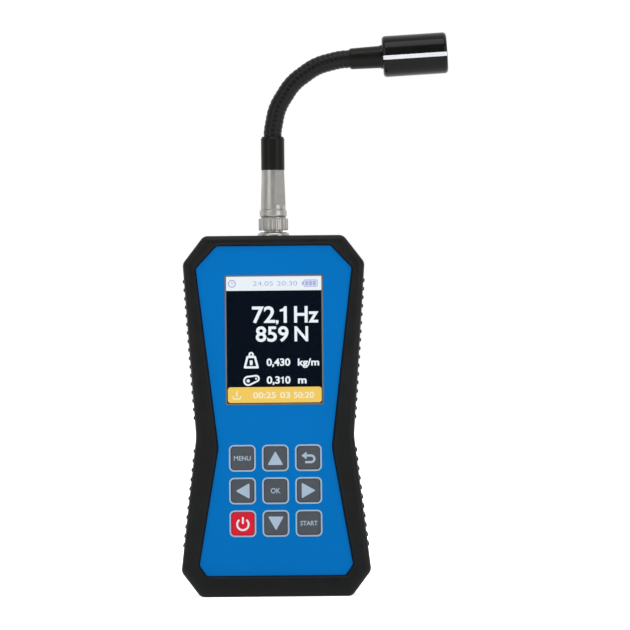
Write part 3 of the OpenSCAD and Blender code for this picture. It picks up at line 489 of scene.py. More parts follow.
def rounded(corners: Sequence[Corner], inset: float = 0.0, steps: int = 8) -> Outline:
    """Round the corners of a closed outline, moved inwards.

    Args:
        corners: Corners as x, z and rounding, counter-clockwise.
        inset: Distance to move inwards.
        steps: Straight pieces in each corner's arc.

    Returns:
        The outline's points, steps + 1 for each corner.
    """
    least_r = 0.05
    points: Outline = []
    for i, (x, z, r) in enumerate(corners):
        before, after = corners[i - 1], corners[(i + 1) % len(corners)]
        e1 = unit((x - before[0], z - before[1]))
        e2 = unit((after[0] - x, after[1] - z))
        n1, n2 = (-e1[1], e1[0]), (-e2[1], e2[0])
        turn = math.atan2(e1[0] * e2[1] - e1[1] * e2[0], e1[0] * e2[0] + e1[1] * e2[1])
        side = math.copysign(1.0, turn)
        arc_r = max(least_r, r - side * inset)
        reach = (inset + side * arc_r) / (1 + n1[0] * n2[0] + n1[1] * n2[1])
        hub = (x + (n1[0] + n2[0]) * reach, z + (n1[1] + n2[1]) * reach)
        for k in range(steps + 1):
            a = turn * k / steps
            spoke = (n1[0] * math.cos(a) - n1[1] * math.sin(a), n1[0] * math.sin(a) + n1[1] * math.cos(a))
            points.append((hub[0] - side * arc_r * spoke[0], hub[1] - side * arc_r * spoke[1]))
    return points


def slab(x: float, z: float, w: float, h: float, r: float) -> list[Corner]:
    """Corners of a rectangle about a middle."""
    return [
        (x + w / 2, z - h / 2, r),
        (x + w / 2, z + h / 2, r),
        (x - w / 2, z + h / 2, r),
        (x - w / 2, z - h / 2, r),
    ]


def mirrored(side: Sequence[Corner]) -> list[Corner]:
    """Corners of the right side from bottom to top, and then of the left side from top to bottom."""
    return [*side, *((-x, z, r) for x, z, r in reversed(side))]


def arc(x: float, z: float, r: float, start: float, end: float, steps: int = 20) -> Outline:
    """Points of a circle's arc between two angles in degrees."""
    turns = [math.radians(start + (end - start) * k / steps) for k in range(steps + 1)]
    return [(x + r * math.cos(a), z + r * math.sin(a)) for a in turns]


def stroke(path: Sequence[Point], width: float) -> Outline:
    """Outline of a line of even width along a path.

    Args:
        path: Points of the line's middle.
        width: Width of the line.

    Returns:
        One side of the line forwards and the other side back.
    """
    left: Outline = []
    right: Outline = []
    for i, (x, z) in enumerate(path):
        before, after = path[max(i - 1, 0)], path[min(i + 1, len(path) - 1)]
        dx, dz = unit((after[0] - before[0], after[1] - before[1]))
        left.append((x - dz * width / 2, z + dx * width / 2))
        right.append((x + dz * width / 2, z - dx * width / 2))
    return [*right, *reversed(left)]


def moved(outline: Iterable[Point], x: float, z: float, turn: float = 0.0) -> Outline:
    """Turn an outline about the origin by degrees and then move it."""
    c, s = math.cos(math.radians(turn)), math.sin(math.radians(turn))
    return [(x + px * c - pz * s, z + px * s + pz * c) for px, pz in outline]


def loft(name: str, rings: Sequence[Sequence[Vector]], ends_meet: bool = False) -> bpy.types.Mesh:
    """Skin over closed rings of equal counts.

    Args:
        name: Name of the mesh.
        rings: Rings of points in metres.
        ends_meet: Whether the last ring joins the first; otherwise both ends are capped.

    Returns:
        A closed mesh with its faces outwards.
    """
    bm = bmesh.new()
    rows = [[bm.verts.new(p) for p in ring] for ring in rings]
    count = len(rows[0])
    pairs = list(zip(rows, rows[1:]))
    if ends_meet:
        pairs.append((rows[-1], rows[0]))
    else:
        bm.faces.new(rows[0])
        bm.faces.new(rows[-1])
    for low, high in pairs:
        for j in range(count):
            k = (j + 1) % count
            bm.faces.new((low[j], low[k], high[k], high[j]))
    bmesh.ops.recalc_face_normals(bm, faces=bm.faces)
    return to_mesh(bm, name)


def to_mesh(bm: bmesh.types.BMesh, name: str, sharp: float = 35.0) -> bpy.types.Mesh:
    """Turn an edit mesh into a mesh that is shaded smooth up to an angle.

    Args:
        bm: The edit mesh, which is freed.
        name: Name of the mesh.
        sharp: Angle between faces, in degrees, from which an edge stays sharp.

    Returns:
        The new mesh.
    """
    for face in bm.faces:
        face.smooth = True
    for edge in bm.edges:
        edge.smooth = edge.is_manifold and edge.calc_face_angle() < math.radians(sharp)
    mesh = bpy.data.meshes.new(name)
    bm.to_mesh(mesh)
    bm.free()
    return mesh


def at_depth(outline: Iterable[Point], y: float) -> list[Vector]:
    """Ring of an outline at a depth, from millimetres to metres."""
    return [Vector((x, y, z)) * MM for x, z in outline]


def add_object(name: str, mesh: bpy.types.Mesh) -> bpy.types.Object:
    """Put a mesh into the scene at the origin."""
    made = bpy.data.objects.new(name, mesh)
    bpy.context.scene.collection.objects.link(made)
    return made


def add_piece(
    name: str,
    mesh: bpy.types.Mesh,
    finish: Surface,
    body: str,
    stands_for: Sequence[str] = (),
) -> bpy.types.Object:
    """Add a piece that moves with a body.

    Args:
        name: Name of the piece.
        mesh: Its mesh, in place.
        finish: Its finish.
        body: The body that it rides on.
        stands_for: Nodes that it replaces.

    Returns:
        The piece's object.
    """
    made = add_object(name, mesh)
    mesh.materials.clear()
    mesh.materials.append(finish.material())
    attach(made, body)
    if stands_for:
        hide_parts(*stands_for)
    log.info("%s: %d faces, %s, rides on %s", name, len(mesh.polygons), finish.name, body)
    return made


def dress(finish: Surface, *nodes: str) -> None:
    """Give solids of the frame a finish, with their shapes as they are."""
    for name in nodes:
        slots = frame["nodes"][name].data.materials
        slots.clear()
        slots.append(finish.material())
        log.info("%s: %s", name, finish.name)


def evaluated(host: bpy.types.Object, name: str) -> bpy.types.Mesh:
    """Turn an object and its modifiers into a plain mesh, and remove the object.

    Args:
        host: The object with its modifiers.
        name: Name of the mesh.

    Returns:
        The plain mesh.
    """
    graph = bpy.context.evaluated_depsgraph_get()
    mesh = bpy.data.meshes.new_from_object(host.evaluated_get(graph))
    mesh.name = name
    bpy.data.objects.remove(host)
    return mesh


def geometry_tree(name: str, inputs: dict[str, str]) -> bpy.types.NodeTree:
    """Start a Geometry Nodes tree.

    Args:
        name: Name of the tree.
        inputs: Type of each named input's socket, after the geometry.

    Returns:
        The tree, with its sockets and no nodes yet.
    """
    tree = bpy.data.node_groups.new(name, "GeometryNodeTree")
    tree.interface.new_socket("Geometry", in_out="INPUT", socket_type="NodeSocketGeometry")
    for title, kind in inputs.items():
        tree.interface.new_socket(title, in_out="INPUT", socket_type=kind)
    tree.interface.new_socket("Geometry", in_out="OUTPUT", socket_type="NodeSocketGeometry")
    return tree


def end_tree(
    tree: bpy.types.NodeTree, geometry: bpy.types.NodeSocket, material: bpy.types.NodeSocket
) -> None:
    """End a Geometry Nodes tree in real faces with a material.

    Args:
        tree: The tree.
        geometry: What it made.
        material: The material of all of it.
    """
    whole = add_node(tree, "GeometryNodeRealizeInstances", {"Geometry": geometry})
    coated = add_node(
        tree,
        "GeometryNodeSetMaterial",
        {"Geometry": whole.outputs["Geometry"], "Material": material},
    )
    add_node(tree, "NodeGroupOutput", {"Geometry": coated.outputs["Geometry"]})


def grow(
    name: str,
    path: Sequence[Vector],
    tree: bpy.types.NodeTree,
    inputs: dict[str, Any],
) -> bpy.types.Mesh:
    """Run a Geometry Nodes tree along a path.

    Args:
        name: Name of the mesh.
        path: Points of the path, in metres.
        tree: The tree.
        inputs: Values of the tree's named inputs.

    Returns:
        The tree's result as a plain mesh.
    """
    line = bpy.data.meshes.new(name + "_path")
    line.from_pydata(list(path), [(i, i + 1) for i in range(len(path) - 1)], [])
    host = add_object(name + "_path", line)
    modifier = host.modifiers.new(name, "NODES")
    modifier.node_group = tree
    for item in tree.interface.items_tree:
        if item.in_out == "INPUT" and item.name in inputs:
            modifier[item.identifier] = inputs[item.name]
    return evaluated(host, name)


class Print:
    """Flat marks of one colour, gathered into one thin closed mesh."""

    thickness: float = 0.03
    sharp: float = 20.0
    # Signs that the type lacks or has as a bare bar, as shares of the width and of a capital's height
    drawn: dict[str, Outline] = {
        "1": [(0.55, 0), (1, 0), (1, 1), (0.68, 1), (0.45, 0.87), (0, 0.8), (0, 0.68), (0.55, 0.7)],
        ",": [(0, 0), (0.4, 0), (0.1, -0.09), (0.45, -0.1), (1, -0.01), (1, 0.16), (0, 0.16)],
    }

    def __init__(self, face: float) -> None:
        """Start with no marks.

        Args:
            face: Depth of the marks' front, in millimetres.
        """
        self.face = face
        self.bm = bmesh.new()

    def area(self, outline: Sequence[Point]) -> None:
        """Fill an outline."""
        front = [self.bm.verts.new(p) for p in at_depth(outline, self.face)]
        back = [self.bm.verts.new(p) for p in at_depth(outline, self.face + self.thickness)]
        self.bm.faces.new(front)
        self.bm.faces.new(list(reversed(back)))
        count = len(front)
        for i in range(count):
            self.bm.faces.new((front[i], back[i], back[(i + 1) % count], front[(i + 1) % count]))

    def band(self, outer: Sequence[Point], inner: Sequence[Point]) -> None:
        """Fill the band between two outlines of equal counts."""
        depths = (self.face, self.face + self.thickness)
        rows = [
            [self.bm.verts.new(p) for p in at_depth(line, y)]
            for line, y in ((outer, depths[0]), (inner, depths[0]), (inner, depths[1]), (outer, depths[1]))
        ]
        count = len(outer)
        for low, high in zip(rows, [*rows[1:], rows[0]]):
            for i in range(count):
                k = (i + 1) % count
                self.bm.faces.new((low[i], low[k], high[k], high[i]))

    def words(
        self, text: str, left: float, base: float, cap: float, width: float, weight: float = 0.0
    ) -> None:
        """Set digits or a word.

        Args:
            text: What it says.
            left: Left end.
            base: Height of the line that it stands on.
            cap: Height of its capitals.
            width: Its full width.
            weight: How far its strokes swell, as a share of the type's size.
        """
        if text in self.drawn:
            self.area([(left + x * width, base + z * cap) for x, z in self.drawn[text]])
            return
        mesh = lettering(text, weight)
        tall = cap / cap_share()
        xs = [v.co.x for v in mesh.vertices]
        wide = width / (max(xs) - min(xs))
        for v in mesh.vertices:
            depth = self.face + self.thickness * (0.5 - v.co.z)
            v.co = Vector((left + (v.co.x - min(xs)) * wide, depth, base + v.co.y * tall)) * MM
        self.bm.from_mesh(mesh)
        bpy.data.meshes.remove(mesh)

    def mesh(self, name: str) -> bpy.types.Mesh:
        """Close the marks into a mesh."""
        bmesh.ops.recalc_face_normals(self.bm, faces=self.bm.faces)
        return to_mesh(self.bm, name, self.sharp)


def lettering(text: str, weight: float) -> bpy.types.Mesh:
    """Turn text into a flat mesh of a type size of one and a thickness of one.

    Args:
        text: What it says.
        weight: How far its strokes swell.

    Returns:
        The text's mesh.
    """
    curve = bpy.data.curves.new("lettering", "FONT")
    curve.body = text
    curve.offset = weight
    curve.extrude = 0.5
    curve.resolution_u = 6
    mesh = evaluated(add_object("lettering", curve), "lettering")
    same_place = 1e-5
    bm = bmesh.new()
    bm.from_mesh(mesh)
    bmesh.ops.remove_doubles(bm, verts=bm.verts, dist=same_place)
    bm.to_mesh(mesh)
    bm.free()
    return mesh


def cap_share() -> float:
    """Height of a capital as a share of the type size."""
    mesh = lettering("H", 0.0)
    heights = [v.co.y for v in mesh.vertices]
    bpy.data.meshes.remove(mesh)
    return max(heights) - min(heights)


@dataclass
class RubberBoot:
    """The rubber boot round the case: an hourglass with round edges, two lips and grip ribs."""

    height: float = 164.0
    depth: float = 38.0
    wall: float = 3.0
    lip: float = 2.0
    edge_r: float = 3.0
    edge_steps: int = 8
    lip_bevel: float = 1.0
    lip_r: float = 0.4
    back_rim: float = 8.0
    overlay: float = 0.5
    hole_r: float = 7.55
    rib_h: float = 0.6
    rib_w: float = 1.8
    rib_len: float = 28.0
    rib_fullness: float = 0.7
    rib_sharp: float = 60.0
    # Distance from a rib's end and share of its height there
    rib_end: tuple[Point, ...] = ((0.0, 0.15), (0.3, 0.75), (0.9, 1.0))
    side: tuple[Corner, ...] = (
        (34.35, 0.0, 4.0),
        (43.15, 11.6, 4.0),
        (35.9, 72.8, 25.0),
        (41.3, 151.5, 4.0),
        (31.7, 164.0, 4.0),
    )
    panel_side: tuple[Corner, ...] = (
        (31.45, 9.6, 1.5),
        (34.85, 14.5, 1.5),
        (25.7, 67.8, 14.0),
        (35.4, 149.2, 1.5),
        (25.9, 159.3, 1.5),
    )
    # Bare length at the start, bare length at the end and pitch of the ribs below and above the waist
    rows: tuple[Corner, ...] = ((12.0, 5.9, 4.31), (8.6, 7.5, 3.88))

    def profile(self) -> list[tuple[Outline, float]]:
        """Outlines and depths round the boot's section, from the panel outwards and back inside.

        Returns:
            Pairs of an outline and its depth.
        """
        body, panel = mirrored(self.side), mirrored(self.panel_side)
        front = -self.depth / 2
        face = front + self.lip
        bow = [math.radians(90 * k / self.edge_steps) for k in range(self.edge_steps + 1)]
        edge = [(self.edge_r * (1 - math.sin(a)), self.edge_r * (1 - math.cos(a))) for a in bow]
        soft = [math.radians(a) for a in (0, 30, 60, 90)]
        slope = [
            (self.lip_bevel - self.lip_r * (math.cos(a) - math.sin(a)), self.lip_r * (1 - math.sin(a)))
            for a in soft
        ]
        rim = [(self.back_rim - self.lip_r * (1 - math.cos(a)), self.lip_r * (1 - math.sin(a))) for a in soft]
        rings = [(rounded(panel), face), (rounded(panel), face - self.overlay)]
        rings += [(rounded(panel, -out), front + sink) for out, sink in slope]
        rings += [(rounded(body, inset), front + sink) for inset, sink in edge]
        rings += [(rounded(body, inset), -front - sink) for inset, sink in reversed(edge)]
        rings += [(rounded(body, inset), -front - sink) for inset, sink in reversed(rim)]
        rings += [(rounded(body, self.back_rim), -face), (rounded(body, self.wall), -face)]
        rings += [(rounded(body, self.wall), face)]
        return rings

    def hole(self) -> bpy.types.Object:
        """Cylinder that opens the top wall for the socket."""
        bm = bmesh.new()
        place = Matrix.Translation((0, 0, (self.height - self.wall / 2) * MM))
        bmesh.ops.create_cone(
            bm,
            cap_ends=True,
            segments=64,
            radius1=self.hole_r * MM,
            radius2=self.hole_r * MM,
            depth=3 * self.wall * MM,
            matrix=place,
        )
        return add_object("socket_hole", to_mesh(bm, "socket_hole"))

    def skin(self) -> bpy.types.Mesh:
        """Loft the boot and open its top for the socket.

        Returns:
            The boot's mesh.
        """
        rings = [at_depth(line, y) for line, y in self.profile()]
        host = add_object("boot_skin", loft("boot_skin", rings, ends_meet=True))
        cutter = self.hole()
        cut = host.modifiers.new("socket_hole", "BOOLEAN")
        cut.object = cutter
        cut.solver = "EXACT"
        mesh = evaluated(host, "rubber_boot_skin")
        bpy.data.objects.remove(cutter)
        bm = bmesh.new()
        bm.from_mesh(mesh)
        return to_mesh(bm, "rubber_boot_skin")

    def rib(self) -> bpy.types.Object:
        """One rib along the depth with soft edges, proud towards +X, its width along Z.

        Returns:
            The rib's object.
        """
        crest = arc(0, 0, 1, -90, 90, 10)
        swell = [(self.rib_h * max(x, 0.0) ** self.rib_fullness, self.rib_w / 2 * z) for x, z in crest]
        section = [(-self.wall / 2, -self.rib_w / 2), *swell, (-self.wall / 2, self.rib_w / 2)]
        ends = [(self.rib_len / 2 - y, s) for y, s in self.rib_end]
        steps = [(-y, s) for y, s in ends] + [(y, s) for y, s in reversed(ends)]
        rings = [[Vector((x * s if x > 0 else x, y, z)) * MM for x, z in section] for y, s in steps]
        return add_object("grip_rib", loft("grip_rib", rings))

    def rib_tree(self) -> bpy.types.NodeTree:
        """Geometry Nodes tree that sets one rib at every pitch along a side.

        Returns:
            The tree, with the inputs Rib, Pitch and Rubber.
        """
        tree = geometry_tree(
            "grip_ribs",
            {"Rib": "NodeSocketObject", "Pitch": "NodeSocketFloat", "Rubber": "NodeSocketMaterial"},
        )
        given = add_node(tree, "NodeGroupInput").outputs
        line = add_node(tree, "GeometryNodeMeshToCurve", {"Mesh": given["Geometry"]})
        spots = add_node(
            tree,
            "GeometryNodeCurveToPoints",
            {"Curve": line.outputs["Curve"], "Length": given["Pitch"]},
            mode="LENGTH",
        )
        facing = add_node(
            tree,
            "FunctionNodeAlignRotationToVector",
            {"Vector": spots.outputs["Tangent"]},
            axis="Z",
            pivot_axis="Y",
        )
        rib = add_node(tree, "GeometryNodeObjectInfo", {"Object": given["Rib"]})
        row = add_node(
            tree,
            "GeometryNodeInstanceOnPoints",
            {
                "Points": spots.outputs["Points"],
                "Instance": rib.outputs["Geometry"],
                "Rotation": facing.outputs["Rotation"],
            },
        )
        end_tree(tree, row.outputs["Instances"], given["Rubber"])
        return tree

    def ribs(self) -> bpy.types.Mesh:
        """Rows of ribs on both sides, below and above the waist.

        Returns:
            The mesh of all ribs.
        """
        tree, rib = self.rib_tree(), self.rib()
        rows = bmesh.new()
        flip = Vector((-1, 1, 1))
        # Keeps the last rib of a row from being lost to rounding
        spare = 0.01
        corners = [Vector((x, 0, z)) for x, z, _ in self.side[1:4]]
        for start, end, (bare_start, bare_end, pitch) in zip(corners, corners[1:], self.rows):
            along = end - start
            steps = math.floor((along.length - bare_start - bare_end) / pitch)
            along.normalize()
            low = start + along * bare_start
            high = low + along * (steps * pitch + spare)
            for path in ((low, high), (high * flip, low * flip)):
                mesh = grow(
                    "grip_ribs",
                    [p * MM for p in path],
                    tree,
                    {"Rib": rib, "Pitch": pitch * MM, "Rubber": BOOT_RUBBER.material()},
                )
                rows.from_mesh(mesh)
                bpy.data.meshes.remove(mesh)
        bpy.data.objects.remove(rib)
        return to_mesh(rows, "grip_ribs", self.rib_sharp)

    def build(self) -> None:
        """Make the boot and its ribs."""
        add_piece("boot_skin", self.skin(), BOOT_RUBBER, "housing", ["rubber_boot"])
        add_piece("boot_grip_ribs", self.ribs(), BOOT_RUBBER, "housing")


@dataclass
class Case:
    """The two shells with their seal and screws, the battery compartment and the boards."""

    def build(self) -> None:
        """Dress the case and what it holds."""
        dress(CASE_ABS, "front_shell", "rear_shell", "battery_door")
        dress(SEAL_RUBBER, "case_seal", "display_gasket", "socket_seal")
        dress(SCREW_STEEL, "case_screws", "board_screws", "door_screw")
        dress(BOARD, "main_board", "sensor_board")
        dress(CHIP_EPOXY, "board_chips", "key_switches")
        dress(CELL_FILM, "battery_cells")
        dress(CONTACT_STEEL, "battery_springs", "battery_plates")
        dress(PANEL_FOIL, "front_overlay")


@dataclass
class Display:
    """The colour display, bonded to the back of its clear pane."""

    width: float = 43.2
    height: float = 57.6
    border: float = 0.8
    border_gap: float = 0.1
    layers: int = 3
    header: float = 6.4
    bar: float = 7.4
    left: float = field(init=False)
    top: float = field(init=False)
    glass: float = field(init=False)
    pane_face: float = field(init=False)

    def __post_init__(self) -> None:
        """Take the display's place from the frame."""
        low, high = (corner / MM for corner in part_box("display_window"))
        self.left = (low.x + high.x) / 2 - self.width / 2
        self.top = (low.z + high.z) / 2 + self.height / 2
        self.pane_face = low.y
        self.glass = high.y + (2 * self.layers + 1) * Print.thickness

    def layer(self, level: int) -> Print:
        """Start marks on the glass, with each level a little before the last."""
        return Print(self.glass - Print.thickness * (1 + 2 * level))

    def spot(self, right: float, down: float) -> Point:
        """Place on the screen, from its top left corner."""
        return self.left + right, self.top - down

    def rectangle(self, right: float, down: float, w: float, h: float, r: float) -> Outline:
        """Rounded rectangle by its left and top."""
        x, z = self.spot(right + w / 2, down + h / 2)
        return rounded(slab(x, z, w, h, r), steps=5)

    def readings(self) -> Print:
        """The white part of the picture: header, readings and their symbols.

        Returns:
            The marks.
        """
        white = self.layer(1)
        white.area(self.rectangle(0, 0, self.width, self.header, 0.3))
        # Words, distances from the left and the top, height of capitals, width and weight
        lines = (
            ("72", 11.6, 20.9, 7.1, 10.5, 0.02),
            (",", 22.3, 21.1, 7.5, 1.3, 0.0),
            ("1", 24.2, 21.1, 7.5, 3.2, 0.0),
            ("Hz", 30.7, 20.9, 7.1, 11.1, 0.02),
            ("859", 13.2, 29.4, 6.5, 14.9, 0.022),
            ("N", 30.8, 29.4, 6.5, 6.2, 0.02),
            ("0,430", 18.0, 40.5, 3.1, 10.8, 0.03),
            ("kg/m", 32.2, 40.5, 3.0, 9.7, 0.03),
            ("0,3", 18.0, 48.6, 3.1, 6.0, 0.03),
            ("1", 24.3, 48.6, 3.1, 1.4, 0.0),
            ("0", 26.4, 48.6, 3.1, 2.4, 0.03),
            ("m", 32.2, 48.6, 3.1, 3.9, 0.03),
        )
        for text, right, down, cap, wide, weight in lines:
            x, z = self.spot(right, down)
            white.words(text, x, z, cap, wide, weight)
        self.weight_symbol(white)
        self.belt_symbol(white)
        return white

    def weight_symbol(self, white: Print) -> None:
        """A weight with its knob, for mass per length."""
        x, z = self.spot(11.05, 41.7)
        wide, narrow, tall, line = 3.55, 2.1, 5.7, 1.0
        body = [(x + w, z + h, r) for w, h, r in mirrored(((wide, 0.0, 0.5), (narrow, tall, 0.6)))]
        white.band(rounded(body), rounded(body, line))
        knob, eye = (arc(x, z + tall + 0.55, r, 0, 354, 24) for r in (1.25, 0.45))
        white.band(knob, eye)
        white.area(rounded(slab(x, z + 2.6, 1.3, 2.2, 0.3)))

    def belt_symbol(self, white: Print) -> None:
        """A belt round two pulleys, for its free length."""
        x, z = self.spot(11.1, 46.9)
        big, small, line, turn = 2.3, 1.7, 0.8, 16
        left, right = -1.55, 2.15
        loop, inner = (
            [*arc(left, 0, big - inset, 80, 280, 16), *arc(right, 0, small - inset, -80, 80, 16)]
            for inset in (0.0, line)
        )
        white.band(moved(loop, x, z, turn), moved(inner, x, z, turn))
        for px, r in ((left, 0.75), (right, 0.45)):
            white.area(moved(arc(px, 0, r, 0, 345, 23), x, z, turn))

    def header_marks(self) -> Print:
        """Clock, date and charge in the header.

        Returns:
            The marks.
        """
        marks = self.layer(2)
        x, z = self.spot(2.6, self.header / 2)
        marks.band(arc(x, z, 1.8, 0, 354, 30), arc(x, z, 1.3, 0, 354, 30))
        marks.area(stroke([(x, z + 0.9), (x, z), (x + 0.8, z)], 0.4))
        for text, right, wide in (("24.05", 12.1, 9.2), ("20:30", 23.0, 9.3)):
            x, z = self.spot(right, self.header / 2 + 1.0)
            marks.words(text, x, z, 2.0, wide)
        x, z = self.spot(38.3, self.header / 2)
        marks.band(rounded(slab(x, z, 6.4, 3.3, 0.7)), rounded(slab(x, z, 5.6, 2.5, 0.4)))
        marks.area(rounded(slab(x - 3.55, z, 0.8, 1.5, 0.2)))
        for k in range(3):
            marks.area(rounded(slab(x - 1.7 + 1.7 * k, z, 1.5, 2.1, 0.2)))
        return marks

    def bar_marks(self) -> Print:
        """Pale arrow and counter in the amber bar.

        Returns:
            The marks.
        """
        marks = self.layer(2)
        line = 0.6
        x, z = self.spot(4.4, self.height - self.bar / 2)
        marks.area(stroke([(x, z + 1.9), (x, z - 0.4)], line))
        tray = [(-1.9, -0.4), (-1.4, -1.6), (1.4, -1.6), (1.9, -0.4)]
        marks.area(stroke(moved(tray, x, z), line))
        for text, right, wide in (("00:25", 11.8, 10.4), ("03", 24.0, 4.6), ("50:20", 30.2, 9.2)):
            x, z = self.spot(right, self.height - self.bar / 2 + 1.3)
            marks.words(text, x, z, 2.6, wide, 0.02)
        return marks

    def build(self) -> None:
        """Make the lit picture, the printed border and the pane."""
        dark = self.layer(0)
        dark.area(self.rectangle(0, 0, self.width, self.height, 0.3))
        amber = self.layer(1)
        amber.area(self.rectangle(0.3, self.height - self.bar, self.width - 0.6, self.bar - 0.3, 1.2))
        marks = (
            ("screen_field", dark, LIT_DARK),
            ("screen_readings", self.readings(), LIT_WHITE),
            ("screen_bar", amber, LIT_AMBER),
            ("screen_header_marks", self.header_marks(), LIT_LAVENDER),
            ("screen_bar_marks", self.bar_marks(), LIT_CREAM),
        )
        for name, sheet, finish in marks:
            add_piece(name, sheet.mesh(name), finish, "housing")
        border = Print(self.pane_face - Print.thickness)
        x, z = self.spot(self.width / 2, self.height / 2)
        wider = 2 * (self.border - self.border_gap)
        outer = slab(x, z, self.width + wider, self.height + wider, 0.6)
        border.band(rounded(outer), rounded(slab(x, z, self.width, self.height, 0.4)))
        add_piece("pane_border", border.mesh("pane_border"), INK_BORDER, "housing")
        dress(PANE_ACRYLIC, "display_window")
        dress(MODULE_FRAME, "display_module")


class Legend(Enum):
    """What a key shows, by the name of its node."""

    MENU = "key_menu"
    UP = "key_up"
    BACK = "key_back"
    LEFT = "key_left"
    OK = "key_ok"
    RIGHT = "key_right"
    POWER = "key_power"
    DOWN = "key_down"
    START = "key_start"


@dataclass
class KeyPad:
    """Nine keys with printed outlines on the panel and printed legends on their faces."""

    width: float = 10.3
    height: float = 10.3
    corner_r: float = 1.4
    gap: float = 0.2
    ring: float = 0.7
    arrow_w: float = 7.1
    arrow_h: float = 6.3
    weight: float = 0.012
    turns: dict[Legend, float] = field(
        default_factory=lambda: {Legend.UP: 0.0, Legend.LEFT: 90.0, Legend.DOWN: 180.0, Legend.RIGHT: -90.0}
    )
    # Height of the capitals and width of the words
    sizes: dict[Legend, Point] = field(
        default_factory=lambda: {Legend.MENU: (2.0, 7.6), Legend.OK: (2.3, 4.4), Legend.START: (2.0, 7.8)}
    )

    def middle(self, key: Legend) -> Point:
        """Middle of a key's face."""
        low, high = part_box(key.value)
        return (low.x + high.x) / 2 / MM, (low.z + high.z) / 2 / MM

    def arrow(self, key: Legend) -> Outline:
        """Triangle that points the key's way."""
        half, tall = self.arrow_w / 2, self.arrow_h
        tip = [(half, -tall / 2, 0.3), (0.0, tall / 2, 0.3), (-half, -tall / 2, 0.3)]
        return moved(rounded(tip, steps=4), *self.middle(key), self.turns[key])

    def mark(self, key: Legend) -> Print:
        """Draw a key's legend.

        Args:
            key: The key.

        Returns:
            Its marks, on the key's face.
        """
        marks = Print(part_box(key.value)[0].y / MM - Print.thickness)
        x, z = self.middle(key)
        if key in self.turns:
            marks.area(self.arrow(key))
        elif key is Legend.BACK:
            bow = [(-0.9, 1.0), (1.1, 1.0), *arc(1.2, -0.5, 1.5, 85, -85), (1.1, -2.0), (-1.5, -2.0)]
            marks.area(moved(stroke(bow, 1.0), x, z))
            head = [(-3.2, 1.0, 0.2), (-0.8, -0.8, 0.2), (-0.8, 2.8, 0.2)]
            marks.area(moved(rounded(head, steps=3), x, z))
        elif key is Legend.POWER:
            marks.area(moved(stroke(arc(0, -0.3, 2.6, 128, 412, 48), 0.85), x, z))
            marks.area(rounded(slab(x, z + 1.5, 0.85, 3.2, 0.3)))
        else:
            cap, wide = self.sizes[key]
            marks.words(key.name, x - wide / 2, z - cap / 2, cap, wide, self.weight)
        return marks

    def build(self) -> None:
        """Dress the keys and print their outlines and legends."""
        rings = Print(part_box("front_overlay")[0].y / MM - Print.thickness)
        for key in Legend:
            cap = slab(*self.middle(key), self.width, self.height, self.corner_r)
            rings.band(rounded(cap, -self.gap - self.ring), rounded(cap, -self.gap))
            red = key is Legend.POWER
            dress(KEY_RED if red else KEY_GREY, key.value)
            name = key.value + "_legend"
            add_piece(name, self.mark(key).mesh(name), INK_WHITE_AND_PAINTED_REFLECTION if red else INK_PALE, key.value)
        add_piece("key_outlines", rings.mesh("key_outlines"), INK_PALE, "housing")


@dataclass
class Connector:
    """The panel socket and the plug with its coupling ring."""

    def build(self) -> None:
        """Dress the metal, the inserts and the contacts."""
        dress(NICKEL, "socket_body", "socket_nut", "coupling_ring", "plug_shell")
        dress(INSERT_PBT, "socket_insert", "plug_insert")
        dress(CONTACT_GOLD, "socket_pins", "plug_pins")
        dress(SLEEVE, "lower_sleeve", "upper_sleeve")


